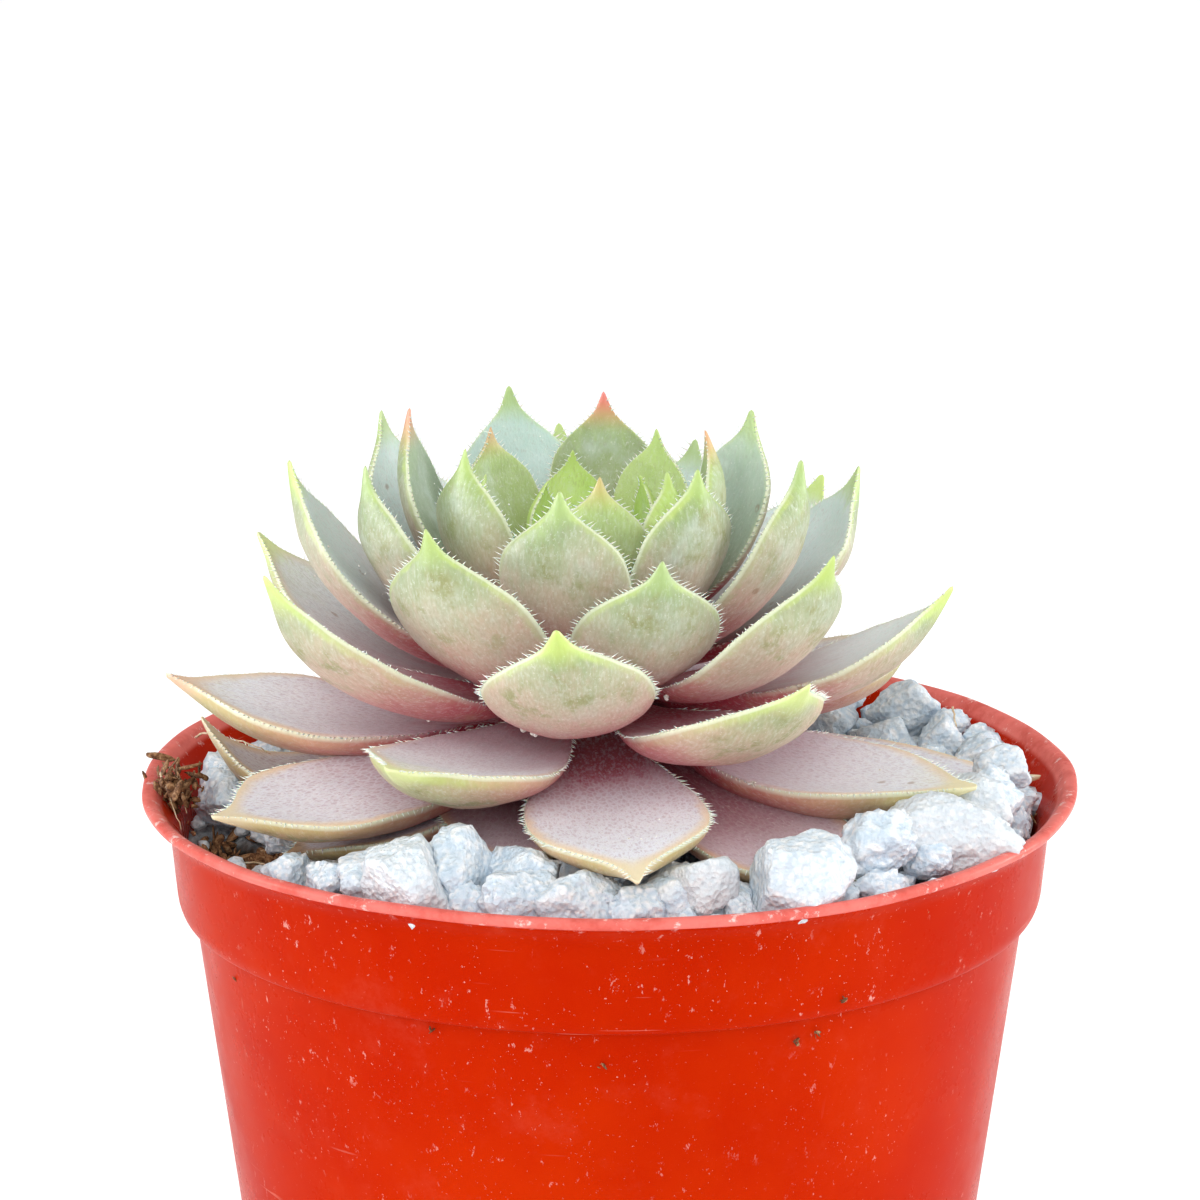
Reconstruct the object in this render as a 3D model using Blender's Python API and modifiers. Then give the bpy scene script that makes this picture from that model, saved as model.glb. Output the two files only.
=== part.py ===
"""A houseleek rosette in a round plastic nursery pot, top-dressed with white gravel.

Metres, +Z up. The origin is on the pot's axis, on the plane that the pot stands on, and -Y is the front.
The rosette follows the plant's own rule: each leaf is one golden angle round the crown from the one before.
"""

import math

import bmesh
import bpy
from mathutils import Matrix, Vector, noise
from mathutils.bvhtree import BVHTree

MM = 0.001
GAP = 0.3 * MM  # clearance between neighbouring pieces that touch in the real object
MERGE = 0.01 * MM

# Pot: a thin turned shell with a collar under a flared lip.
POT_HEIGHT = 57.0 * MM
LIP_RADIUS = 32.0 * MM
LIP_HEIGHT = 1.3 * MM
LIP_FLARE = 1.2 * MM  # height of the curve from the lip into the collar
LIP_OVERHANG = 1.8 * MM  # how far the lip stands out from the collar
COLLAR_HEIGHT = 8.4 * MM  # from the lip's top to the collar's lower edge
COLLAR_STEP = 1.1 * MM  # how far the collar stands out from the body
COLLAR_DRAFT = 0.5 * MM  # how much narrower the collar is at its lower edge
COLLAR_ROUND = 0.7 * MM
BODY_DRAFT = 6.0 * MM  # how much narrower the body is at the base
WALL = 0.9 * MM
FLOOR = 1.2 * MM
FOOT_WIDTH = 3.0 * MM
FOOT_HEIGHT = 1.0 * MM
BASE_ROUND = 1.2 * MM
DRAIN_RADIUS = 2.2 * MM
DRAIN_RING_RADIUS = 12.0 * MM
DRAIN_COUNT = 6
POT_STEPS = 48

# What fills the pot.
GRAVEL_DEPTH = 5.0 * MM
GRAVEL_BELOW_LIP = 2.4 * MM  # mean level of the gravel
GRAVEL_RELIEF = 0.6 * MM
GRAVEL_GRAIN = 4.0 * MM
GRAVEL_RINGS = 7
# The largest stones, which stand on the rest: (x, y, size) in mm.
STONES = {
    "stone_front_left": (-12.5, -25.5, 5.6),
    "stone_front_right": (12.0, -25.5, 6.2),
    "stone_right": (22.5, -16.5, 6.6),
}
STONE_HEIGHT = 0.72  # of its size
STONE_ROUGHNESS = 0.16
FILL_STEPS = 40

# Crown: the short stem that carries the leaves, and the main root under it.
CROWN_X = -1.4 * MM  # the plant stands a little off the pot's axis
CROWN_Y = -0.9 * MM
CROWN_RADIUS = 4.6 * MM
CROWN_RISE = 11.0 * MM  # from the oldest leaf's base to the growing tip
CROWN_SEAT = 3.6 * MM  # the oldest leaf's base over the mean level of the gravel
ROOT_LENGTH = 22.0 * MM
ROOT_TOP_RADIUS = 3.4 * MM
ROOT_TIP_RADIUS = 1.0 * MM
CROWN_STEPS = 24

# Rosette. Age runs from 0, at the growing tip, to 1, at the oldest leaf.
GOLDEN_ANGLE = math.radians(137.5077)
FIRST_LEAF_TURN = math.radians(76.5)
BUD_LEAVES = 4  # the youngest leaves are still one closed bud
BUD_HEART = 1.35 * MM  # radius of the growing tip that joins them
OLDEST_LEAF = 56
WITHERED_LEAVES = (52, 54)  # old leaves that the plant has dropped
ROSETTE_RADIUS = 28.0 * MM
TIP_REACH = (0.03, 0.31, 0.58, 0.88, 1.0, 0.95)  # of the rosette's radius
TIP_RISE = 22.9 * MM  # height of the highest tips over the oldest leaf's base
TIP_LEVEL = (0.78, 0.94, 0.94, 0.60, 0.12, -0.06)  # of the tip rise
LEAF_WIDTH = 12.4 * MM
WIDTH_SHARE = (0.22, 0.58, 0.80, 0.96, 1.0, 0.95)
LEAF_THICKNESS = 2.1 * MM
THICKNESS_SHARE = (0.4, 0.65, 0.9, 1.0, 0.85, 0.55)
LEAF_BELLY = (0.10, 0.12, 0.13, 0.11, 0.05, -0.02)  # how far a leaf bows outwards and down, of its length
BASE_WIDTH = 0.26  # of the leaf's greatest width
BASE_THICKNESS = 0.28
WIDEST_AT = 0.6
SHOULDER = 2.6
CUSP = 1.0
CUP = 0.12  # how far the margins stand up, of the half width
UPPER_SHARE = 0.35  # of the thickness that is above the margins
LEAF_SIDES = 10
LEAF_RINGS = 9
LIFT_STEP = math.radians(0.5)  # a leaf that meets an older one is lifted by this until it rests on it
LIFT_STEPS = 24
FREE_FROM = 3.0 * MM  # nearer the crown than this the leaves are packed by their spacing alone
# Where single leaves differ from the rule: extra turn in degrees, and extra reach and rise of the tip in mm.
QUIRKS = {
    6: (0, 0, -2),
    9: (0, 0, -1),
    13: (0, -2, 0.5),
    14: (-3, 0, 1),
    15: (0, 0, 1),
    17: (0, 0, 1.5),
    19: (8, 0, -0.5),
    20: (-3, 0, 0),
    23: (0, 0, -2.5),
    24: (0, 0, -3),
    25: (0, -1, 1),
    26: (0, 0, -1),
    27: (6, 0, 1),
    30: (0, -2, 4),
    33: (-4, 0, 3),
    35: (0, 0, 4.5),
    37: (3, 0, 1.5),
    38: (0, -2, 4.5),
    39: (0, -1, 0),
    40: (-3, 0, -0.5),
    42: (0, 0, -1),
    43: (-8, 1, 3.5),
    45: (-3, 1, -3),
    46: (10, 0, 1),
    47: (0, 1, -1),
    48: (-10, 2, -1),
    50: (0, 0, -2),
    51: (4, 0, 0.5),
    53: (-6, -8, -1),
    55: (-4, -8, -1),
    56: (4, 0, -1),
}
NO_QUIRK = (0, 0, 0)


def at_age(stations, age):
    """A value between a row of them at even ages, on a smooth curve through them all."""
    place = min(max(age, 0.0), 1.0) * (len(stations) - 1)
    low = min(int(place), len(stations) - 2)
    share = place - low
    start, end = stations[low], stations[low + 1]
    slope_in = (end - stations[max(low - 1, 0)]) / 2
    slope_out = (stations[min(low + 2, len(stations) - 1)] - start) / 2
    rest = 1 - share
    return (
        start * (1 + 2 * share) * rest**2
        + end * (3 - 2 * share) * share**2
        + slope_in * share * rest**2
        - slope_out * share**2 * rest
    )


def material(name, colour, roughness):
    made = bpy.data.materials.new(name)
    made.use_nodes = True
    shader = made.node_tree.nodes["Principled BSDF"]
    shader.inputs["Base Color"].default_value = (*colour, 1.0)
    shader.inputs["Roughness"].default_value = roughness
    shader.inputs["Metallic"].default_value = 0.0
    return made


def in_part(obj, collection, finish=None):
    """Moves an object into one of the part's collections and gives it its finish."""
    for holder in list(obj.users_collection):
        holder.objects.unlink(obj)
    collection.objects.link(obj)
    if finish:
        obj.data.materials.append(finish)
    return obj


def new_collection(name):
    made = bpy.data.collections.new(name)
    bpy.context.scene.collection.children.link(made)
    return made


def turned(name, profile, steps, collection, finish):
    """A solid turned about Z from an outline of (radius, height) that runs down its outer side."""
    mesh = bpy.data.meshes.new(name)
    edges = [(i, i + 1) for i in range(len(profile) - 1)]
    on_axis = profile[0][0] == 0 and profile[-1][0] == 0
    if not on_axis:
        edges.append((len(profile) - 1, 0))
    mesh.from_pydata([(r, 0, z) for r, z in profile], edges, [])
    obj = in_part(bpy.data.objects.new(name, mesh), collection, finish)
    screw = obj.modifiers.new("turn", "SCREW")
    screw.steps = screw.render_steps = steps
    screw.use_merge_vertices = True
    screw.merge_threshold = MERGE
    screw.use_smooth_shade = False
    return obj


def baked(obj):
    """The object with its modifiers made part of its mesh."""
    graph = bpy.context.evaluated_depsgraph_get()
    mesh = bpy.data.meshes.new_from_object(obj.evaluated_get(graph))
    obj.modifiers.clear()
    obj.data = mesh
    return obj


def smooth(obj, sharp_degrees=35):
    obj.data.shade_smooth()
    obj.data.set_sharp_from_angle(angle=math.radians(sharp_degrees))
    return obj


# ---- pot ------------------------------------------------------------------------------------------------------


def body_radius(height):
    """Outer radius of the pot's tapered body at a height."""
    top = LIP_RADIUS - LIP_OVERHANG - COLLAR_DRAFT - COLLAR_STEP
    return top - BODY_DRAFT * (1 - height / (POT_HEIGHT - COLLAR_HEIGHT))


def pot_profile():
    collar_top = LIP_RADIUS - LIP_OVERHANG
    collar_foot = collar_top - COLLAR_DRAFT
    ledge = POT_HEIGHT - COLLAR_HEIGHT
    edge = WALL / 4
    flare_foot = POT_HEIGHT - LIP_HEIGHT - LIP_FLARE
    outer = [
        (LIP_RADIUS - edge, POT_HEIGHT),
        (LIP_RADIUS, POT_HEIGHT - edge),
        (LIP_RADIUS, POT_HEIGHT - LIP_HEIGHT),
        (collar_top + LIP_OVERHANG * 0.3, POT_HEIGHT - LIP_HEIGHT - LIP_FLARE * 0.4),
        (collar_top, flare_foot),
        (collar_foot, ledge + COLLAR_ROUND),
        (collar_foot - COLLAR_ROUND * 0.4, ledge),
        (body_radius(ledge), ledge - COLLAR_ROUND * 0.3),
        (body_radius(BASE_ROUND), BASE_ROUND),
        (body_radius(0) - BASE_ROUND, 0),
        (body_radius(0) - FOOT_WIDTH, 0),
        (body_radius(0) - FOOT_WIDTH - FOOT_HEIGHT, FOOT_HEIGHT),
        (0, FOOT_HEIGHT),
    ]
    return outer + pot_inside()


def pot_inside(clearance=0.0):
    """The inner wall from the middle of the floor up to the lip, moved inwards by a clearance."""
    collar_top = LIP_RADIUS - LIP_OVERHANG
    ledge = POT_HEIGHT - COLLAR_HEIGHT
    floor = FOOT_HEIGHT + FLOOR
    step = COLLAR_STEP
    return [
        (0, floor + clearance),
        (body_radius(floor) - WALL - clearance, floor + clearance),
        (body_radius(ledge) - WALL - clearance, ledge - step),
        (collar_top - COLLAR_DRAFT - WALL - clearance, ledge),
        (collar_top - WALL - clearance, POT_HEIGHT - LIP_HEIGHT - LIP_FLARE),
        (LIP_RADIUS - WALL - clearance, POT_HEIGHT),
    ]


def inner_radius(height, clearance):
    """The pot's inner radius at a height above its floor."""
    wall = pot_inside(clearance)[1:]
    for (r_low, z_low), (r_high, z_high) in zip(wall, wall[1:]):
        if z_low <= height <= z_high:
            return r_low + (r_high - r_low) * (height - z_low) / (z_high - z_low)
    return wall[-1][0]


def make_pot(parts, cutters, finish):
    pot = smooth(baked(turned("pot", pot_profile(), POT_STEPS, parts, finish)))
    for i in range(DRAIN_COUNT):
        turn = 2 * math.pi * i / DRAIN_COUNT
        bpy.ops.mesh.primitive_cylinder_add(
            vertices=16,
            radius=DRAIN_RADIUS,
            depth=4 * (FLOOR + FOOT_HEIGHT),
            location=(DRAIN_RING_RADIUS * math.cos(turn), DRAIN_RING_RADIUS * math.sin(turn), FLOOR),
        )
        cutter = in_part(bpy.context.object, cutters)
        cutter.name = f"drain_cutter_{i + 1}"
        cutter.hide_render = True
        cutter.display_type = "WIRE"
        cut = pot.modifiers.new(cutter.name, "BOOLEAN")
        cut.operation = "DIFFERENCE"
        cut.object = cutter
    return pot


# ---- soil, gravel and crown -----------------------------------------------------------------------------------

SOIL_TOP = POT_HEIGHT - GRAVEL_BELOW_LIP - GRAVEL_DEPTH
GRAVEL_TOP = POT_HEIGHT - GRAVEL_BELOW_LIP
SEAT = GRAVEL_TOP + CROWN_SEAT  # height of the oldest leaf's base
ROOT_TIP = SEAT - ROOT_LENGTH


def root_radius(height):
    share = (height - ROOT_TIP) / ROOT_LENGTH
    return ROOT_TIP_RADIUS + (ROOT_TOP_RADIUS - ROOT_TIP_RADIUS) * share


def crown_radius(age):
    """The crown is a low dome: its radius where the leaf of this age joins it."""
    return CROWN_RADIUS * math.sin(math.pi / 2 * age**0.6)


def crown_height(age):
    return SEAT + CROWN_RISE * (1 - age) ** 0.8


def make_crown(parts, finish):
    ages = [i / 6 for i in range(1, 7)]  # the bud fills what is above the first of these
    dome = [(crown_radius(a) - GAP * 2, crown_height(a) - GAP * 2) for a in ages]
    root = [(root_radius(SEAT - GAP * 4), SEAT - GAP * 4), (ROOT_TIP_RADIUS, ROOT_TIP)]
    profile = [(0, dome[0][1]), *dome, *root, (0, ROOT_TIP)]
    crown = turned("crown_and_root", profile, CROWN_STEPS, parts, finish)
    crown.location = (CROWN_X, CROWN_Y, 0)
    return crown


def make_soil(parts, cutters, finish):
    top = inner_radius(SOIL_TOP, GAP)
    wall = [p for p in pot_inside(GAP)[1:] if p[1] < SOIL_TOP]
    profile = [(0, SOIL_TOP), (top, SOIL_TOP), *reversed(wall), (0, pot_inside(GAP)[0][1])]
    soil = baked(turned("potting_mix", profile, FILL_STEPS, parts, finish))
    cut_root_hole(soil, cutters)
    return soil


def cut_root_hole(solid, cutters):
    """A socket for the root, with a clearance all round it."""
    name = f"root_hole_in_{solid.name}"
    profile = [
        (0, SEAT + GRAVEL_DEPTH),
        (root_radius(SEAT) + GAP, SEAT + GRAVEL_DEPTH),
        (root_radius(SEAT) + GAP, SEAT),
        (ROOT_TIP_RADIUS + GAP, ROOT_TIP - GAP),
        (0, ROOT_TIP - GAP),
    ]
    cutter = baked(turned(name, profile, CROWN_STEPS, cutters, None))
    cutter.location = (CROWN_X, CROWN_Y, 0)
    cutter.hide_render = True
    cutter.display_type = "WIRE"
    cut = solid.modifiers.new("root_hole", "BOOLEAN")
    cut.operation = "DIFFERENCE"
    cut.object = cutter


def make_gravel(parts, cutters, finish):
    foot = SOIL_TOP + GAP
    rings = [(inner_radius(GRAVEL_TOP, GAP) * i / GRAVEL_RINGS, GRAVEL_TOP) for i in range(GRAVEL_RINGS + 1)]
    wall = [p for p in pot_inside(GAP) if foot < p[1] < GRAVEL_TOP]
    profile = [*rings, *reversed(wall), (inner_radius(foot, GAP), foot), (0, foot)]
    gravel = baked(turned("gravel", profile, FILL_STEPS, parts, finish))
    for vertex in gravel.data.vertices:
        if vertex.co.z > GRAVEL_TOP - MERGE:
            vertex.co.z += GRAVEL_RELIEF * noise.noise(vertex.co / GRAVEL_GRAIN)
    cut_root_hole(gravel, cutters)
    return gravel


def make_stones(parts, finish):
    for name, (x, y, size) in STONES.items():
        bpy.ops.mesh.primitive_ico_sphere_add(subdivisions=2, radius=1)
        stone = in_part(bpy.context.object, parts, finish)
        stone.name = name
        half = size * MM / 2
        for vertex in stone.data.vertices:
            grain = noise.noise(vertex.co * 1.6 + Vector((x, y, size)))
            vertex.co *= half * (1 + STONE_ROUGHNESS * (2 * grain - 1))
            vertex.co.z *= STONE_HEIGHT
        foot = min(v.co.z for v in stone.data.vertices)
        stone.location = (x * MM, y * MM, GRAVEL_TOP + GRAVEL_RELIEF + GAP - foot)


# ---- leaves ---------------------------------------------------------------------------------------------------


def leaf_half_width(t):
    """Share of the greatest half width at t, from 0 at the base to 1 at the point."""
    if t < WIDEST_AT:
        rise = math.sin(math.pi / 2 * t / WIDEST_AT)
        return BASE_WIDTH + (1 - BASE_WIDTH) * rise**1.5
    return (1 - ((t - WIDEST_AT) / (1 - WIDEST_AT)) ** SHOULDER) ** CUSP


def leaf_depth(t):
    """Share of the greatest thickness at t."""
    return (BASE_THICKNESS + (1 - BASE_THICKNESS) * math.sin(math.pi * min(t * 1.1, 1) ** 0.9)) * (1 - t**6)


def leaf_mesh(name, number):
    """A closed leaf, made from a sphere drawn out along the leaf's bowed midline: local +X is away from the crown."""
    age = number / OLDEST_LEAF
    _, more_reach, more_rise = QUIRKS.get(number, NO_QUIRK)
    reach = ROSETTE_RADIUS * at_age(TIP_REACH, age) - crown_radius(age) + more_reach * MM
    rise = SEAT + TIP_RISE * at_age(TIP_LEVEL, age) - crown_height(age) + more_rise * MM
    start, end = Vector((0, 0, 0)), Vector((reach, 0, rise))
    outwards = Vector((rise, 0, -reach))
    bow = start.lerp(end, 0.5) + outwards * 2 * at_age(LEAF_BELLY, age)
    half = LEAF_WIDTH / 2 * at_age(WIDTH_SHARE, age)
    thick = LEAF_THICKNESS * at_age(THICKNESS_SHARE, age)

    shape = bmesh.new()
    bmesh.ops.create_uvsphere(shape, u_segments=LEAF_SIDES, v_segments=LEAF_RINGS, radius=1)
    for vertex in shape.verts:
        ring = LEAF_RINGS * (1 - math.acos(max(-1, min(1, vertex.co.z))) / math.pi)
        t = max(0.0, (ring - 1) / (LEAF_RINGS - 1))
        centre = start * (1 - t) ** 2 + bow * 2 * t * (1 - t) + end * t**2
        along = ((bow - start) * (1 - t) + (end - bow) * t).normalized()
        above = Vector((-along.z, 0, along.x))
        if ring < 0.5 or ring > LEAF_RINGS - 0.5:
            vertex.co = centre
            continue
        around = math.atan2(vertex.co.y, vertex.co.x)
        side, up = math.cos(around), math.sin(around)
        width = half * leaf_half_width(t)
        share = UPPER_SHARE if up > 0 else 1 - UPPER_SHARE
        lift = thick * leaf_depth(t) * share * up + CUP * width * (side**2 - 0.5)
        vertex.co = centre + Vector((0, side * width, 0)) + above * lift
    mesh = bpy.data.meshes.new(name)
    shape.to_mesh(mesh)
    shape.free()
    return mesh


def place_leaf(name, number, collection, finish):
    leaf = in_part(bpy.data.objects.new(name, leaf_mesh(name, number)), collection, finish)
    age = number / OLDEST_LEAF
    # A turn of 0 faces the front, and it grows towards +X.
    turn = FIRST_LEAF_TURN - GOLDEN_ANGLE * number + math.radians(QUIRKS.get(number, NO_QUIRK)[0])
    away = Vector((math.sin(turn), -math.cos(turn), 0))
    leaf.location = Vector((CROWN_X, CROWN_Y, crown_height(age))) + away * crown_radius(age)
    leaf.rotation_euler = (0, 0, turn - math.pi / 2)
    return smooth(leaf)


def skin(leaf, swell=0.0):
    """The free part of the leaf's surface in the part's frame, swollen by a clearance."""
    turned_by = leaf.rotation_euler.to_matrix()
    vertices = leaf.data.vertices
    points = [turned_by @ (v.co + v.normal * swell) + leaf.location for v in vertices]
    faces = [tuple(p.vertices) for p in leaf.data.polygons]
    free = [f for f in faces if min(vertices[i].co.x for i in f) > FREE_FROM]
    return BVHTree.FromPolygons(points, free or faces)


def settle(leaf, older):
    """Lifts a leaf about its base by the least that clears every older leaf, or that touches them least."""
    touches = []
    for step in range(LIFT_STEPS + 1):
        tree = skin(leaf, GAP / 3)
        touches.append(sum(len(tree.overlap(other)) for other in older))
        if not touches[-1]:
            break
        leaf.data.transform(Matrix.Rotation(-LIFT_STEP, 4, "Y"))
    best = touches.index(min(touches))
    if touches[-1]:
        leaf.data.transform(Matrix.Rotation(LIFT_STEP * (len(touches) - best), 4, "Y"))
    older.append(skin(leaf))


def make_bud(parts, cutters, finish):
    """The youngest leaves, joined round the growing tip into one closed bud."""
    bpy.ops.mesh.primitive_uv_sphere_add(
        segments=LEAF_SIDES,
        ring_count=6,
        radius=BUD_HEART,
        location=(CROWN_X, CROWN_Y, crown_height(0) - BUD_HEART / 6),
    )
    bud = in_part(bpy.context.object, parts, finish)
    bud.name = "bud"
    for number in range(BUD_LEAVES):
        fold = place_leaf(f"bud_fold_{number}", number, cutters, None)
        fold.hide_render = True
        fold.display_type = "WIRE"
        join = bud.modifiers.new(fold.name, "BOOLEAN")
        join.operation = "UNION"
        join.object = fold
    return bud


def make_rosette(parts, cutters, finish):
    make_bud(parts, cutters, finish)
    settled = []
    for number in range(OLDEST_LEAF, BUD_LEAVES - 1, -1):
        if number not in WITHERED_LEAVES:
            settle(place_leaf(f"leaf_{number:02d}", number, parts, finish), settled)


def main():
    for obj in list(bpy.data.objects):
        bpy.data.objects.remove(obj, do_unlink=True)
    parts = new_collection("potted_houseleek")
    cutters = new_collection("cutters")
    make_pot(parts, cutters, material("pot_plastic", (0.72, 0.08, 0.02), 0.38))
    make_soil(parts, cutters, material("potting_mix", (0.07, 0.045, 0.03), 0.95))
    quartz = material("gravel", (0.80, 0.83, 0.85), 0.8)
    make_gravel(parts, cutters, quartz)
    make_stones(parts, quartz)
    make_crown(parts, material("crown", (0.42, 0.30, 0.22), 0.7))
    make_rosette(parts, cutters, material("leaf", (0.48, 0.55, 0.36), 0.55))


main()
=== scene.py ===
"""A potted houseleek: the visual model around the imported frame.

Metres, +Z up, -Y is the front. Every piece is built here in mesh code and stands for the CAD node that it names.
"""

import math
import random

import bmesh
import bpy
import numpy as np
from mathutils import Matrix, Vector, noise
from mathutils.bvhtree import BVHTree


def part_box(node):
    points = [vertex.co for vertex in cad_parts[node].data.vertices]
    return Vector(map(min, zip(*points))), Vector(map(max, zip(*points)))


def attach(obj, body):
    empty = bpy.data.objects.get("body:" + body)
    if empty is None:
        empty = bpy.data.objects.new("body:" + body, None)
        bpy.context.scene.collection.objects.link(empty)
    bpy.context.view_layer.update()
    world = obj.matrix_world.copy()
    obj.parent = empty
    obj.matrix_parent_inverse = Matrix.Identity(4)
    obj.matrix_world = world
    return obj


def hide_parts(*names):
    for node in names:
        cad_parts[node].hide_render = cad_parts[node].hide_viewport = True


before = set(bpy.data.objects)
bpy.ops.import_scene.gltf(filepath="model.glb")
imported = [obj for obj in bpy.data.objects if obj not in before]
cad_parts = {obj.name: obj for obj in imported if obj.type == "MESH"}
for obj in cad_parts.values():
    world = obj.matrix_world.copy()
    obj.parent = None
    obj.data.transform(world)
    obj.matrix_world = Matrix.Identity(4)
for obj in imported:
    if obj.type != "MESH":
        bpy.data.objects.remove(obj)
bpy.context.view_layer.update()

MM = 0.001
BODY = "root"
GOLDEN_ANGLE = math.radians(137.5077)
FIRST_LEAF_TURN = math.radians(76.5)
OLDEST_LEAF = 56
BUD_LEAVES = 4
UP = np.array([0.0, 0.0, 1.0])

pot_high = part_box("pot")[1]
LIP_RADIUS = pot_high.x
POT_HEIGHT = pot_high.z
crown_low, crown_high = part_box("crown_and_root")
CROWN = Vector(((crown_low.x + crown_high.x) / 2, (crown_low.y + crown_high.y) / 2, 0))
CROWN_RADIUS = 4.6 * MM
SEAT = 58.2 * MM  # height of the oldest leaf's base
CROWN_RISE = 11.0 * MM


# ---- node materials ----


class Material:
    """A node material. node() adds one node, and an input given as a socket is linked."""

    def __init__(self, name):
        self.made = bpy.data.materials.new(name)
        self.made.use_nodes = True
        self.nodes = self.made.node_tree.nodes
        self.links = self.made.node_tree.links
        self.shader = self.nodes["Principled BSDF"]

    def node(self, kind, inputs=None, **settings):
        made = self.nodes.new(kind)
        for key, value in settings.items():
            setattr(made, key, value)
        self.feed(made, inputs or {})
        return made

    def feed(self, node, inputs):
        for key, value in inputs.items():
            if isinstance(value, bpy.types.NodeSocket):
                self.links.new(value, node.inputs[key])
            else:
                node.inputs[key].default_value = value

    def attribute(self, name):
        return self.node("ShaderNodeAttribute", attribute_name=name).outputs["Fac"]

    def place(self):
        return self.node("ShaderNodeTexCoord").outputs["Object"]

    def math(self, operation, a, b=0.0):
        return self.node("ShaderNodeMath", {0: a, 1: b}, operation=operation).outputs[0]

    def add(self, a, b):
        return self.math("ADD", a, b)

    def times(self, first, *others):
        for other in others:
            first = self.math("MULTIPLY", first, other)
        return first

    def shaken(self, value, by, amount):
        """The value, moved up and down by a noise."""
        return self.add(value, self.times(self.math("SUBTRACT", by, 0.5), amount))

    def step(self, value, low, high, to_low=0.0, to_high=1.0):
        """A smooth step of value, from low to high."""
        return self.node(
            "ShaderNodeMapRange",
            {0: value, 1: low, 2: high, 3: to_low, 4: to_high},
            interpolation_type="SMOOTHSTEP",
        ).outputs[0]

    def noise(self, scale, detail=3.0, roughness=0.55, place=None, distortion=0.0):
        inputs = {"Vector": place or self.place(), "Scale": scale, "Detail": detail}
        inputs.update({"Roughness": roughness, "Distortion": distortion})
        return self.node("ShaderNodeTexNoise", inputs).outputs["Fac"]

    def voronoi(self, scale, feature="F1", place=None):
        inputs = {"Vector": place or self.place(), "Scale": scale}
        return self.node("ShaderNodeTexVoronoi", inputs, feature=feature).outputs["Distance"]

    def squeezed(self, scale, turned=(0.0, 0.0, 0.0)):
        """Object coordinates, turned and scaled apart on each axis."""
        inputs = {"Vector": self.place(), "Rotation": turned, "Scale": scale}
        return self.node("ShaderNodeMapping", inputs).outputs[0]

    def mix(self, factor, a, b, blend="MIX"):
        colours = [(*c, 1.0) if isinstance(c, tuple) and len(c) == 3 else c for c in (a, b)]
        inputs = {0: factor, 6: colours[0], 7: colours[1]}
        return self.node("ShaderNodeMix", inputs, data_type="RGBA", blend_type=blend).outputs[2]

    def ramp(self, value, stops):
        """A colour for each value. A stop is its place, red, green and blue."""
        made = self.node("ShaderNodeValToRGB", {0: value})
        elements = made.color_ramp.elements
        while len(elements) < len(stops):
            elements.new(0.5)
        for element, (at, *colour) in zip(elements, stops):
            element.position = at
            element.color = (*colour, 1.0)
        return made.outputs[0]

    def bump(self, height, distance, strength=1.0, normal=None):
        inputs = {"Height": height, "Distance": distance, "Strength": strength}
        if normal:
            inputs["Normal"] = normal
        return self.node("ShaderNodeBump", inputs).outputs[0]

    def finish(self, **inputs):
        self.feed(self.shader, {key.replace("_", " "): value for key, value in inputs.items()})
        return self.made


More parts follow.
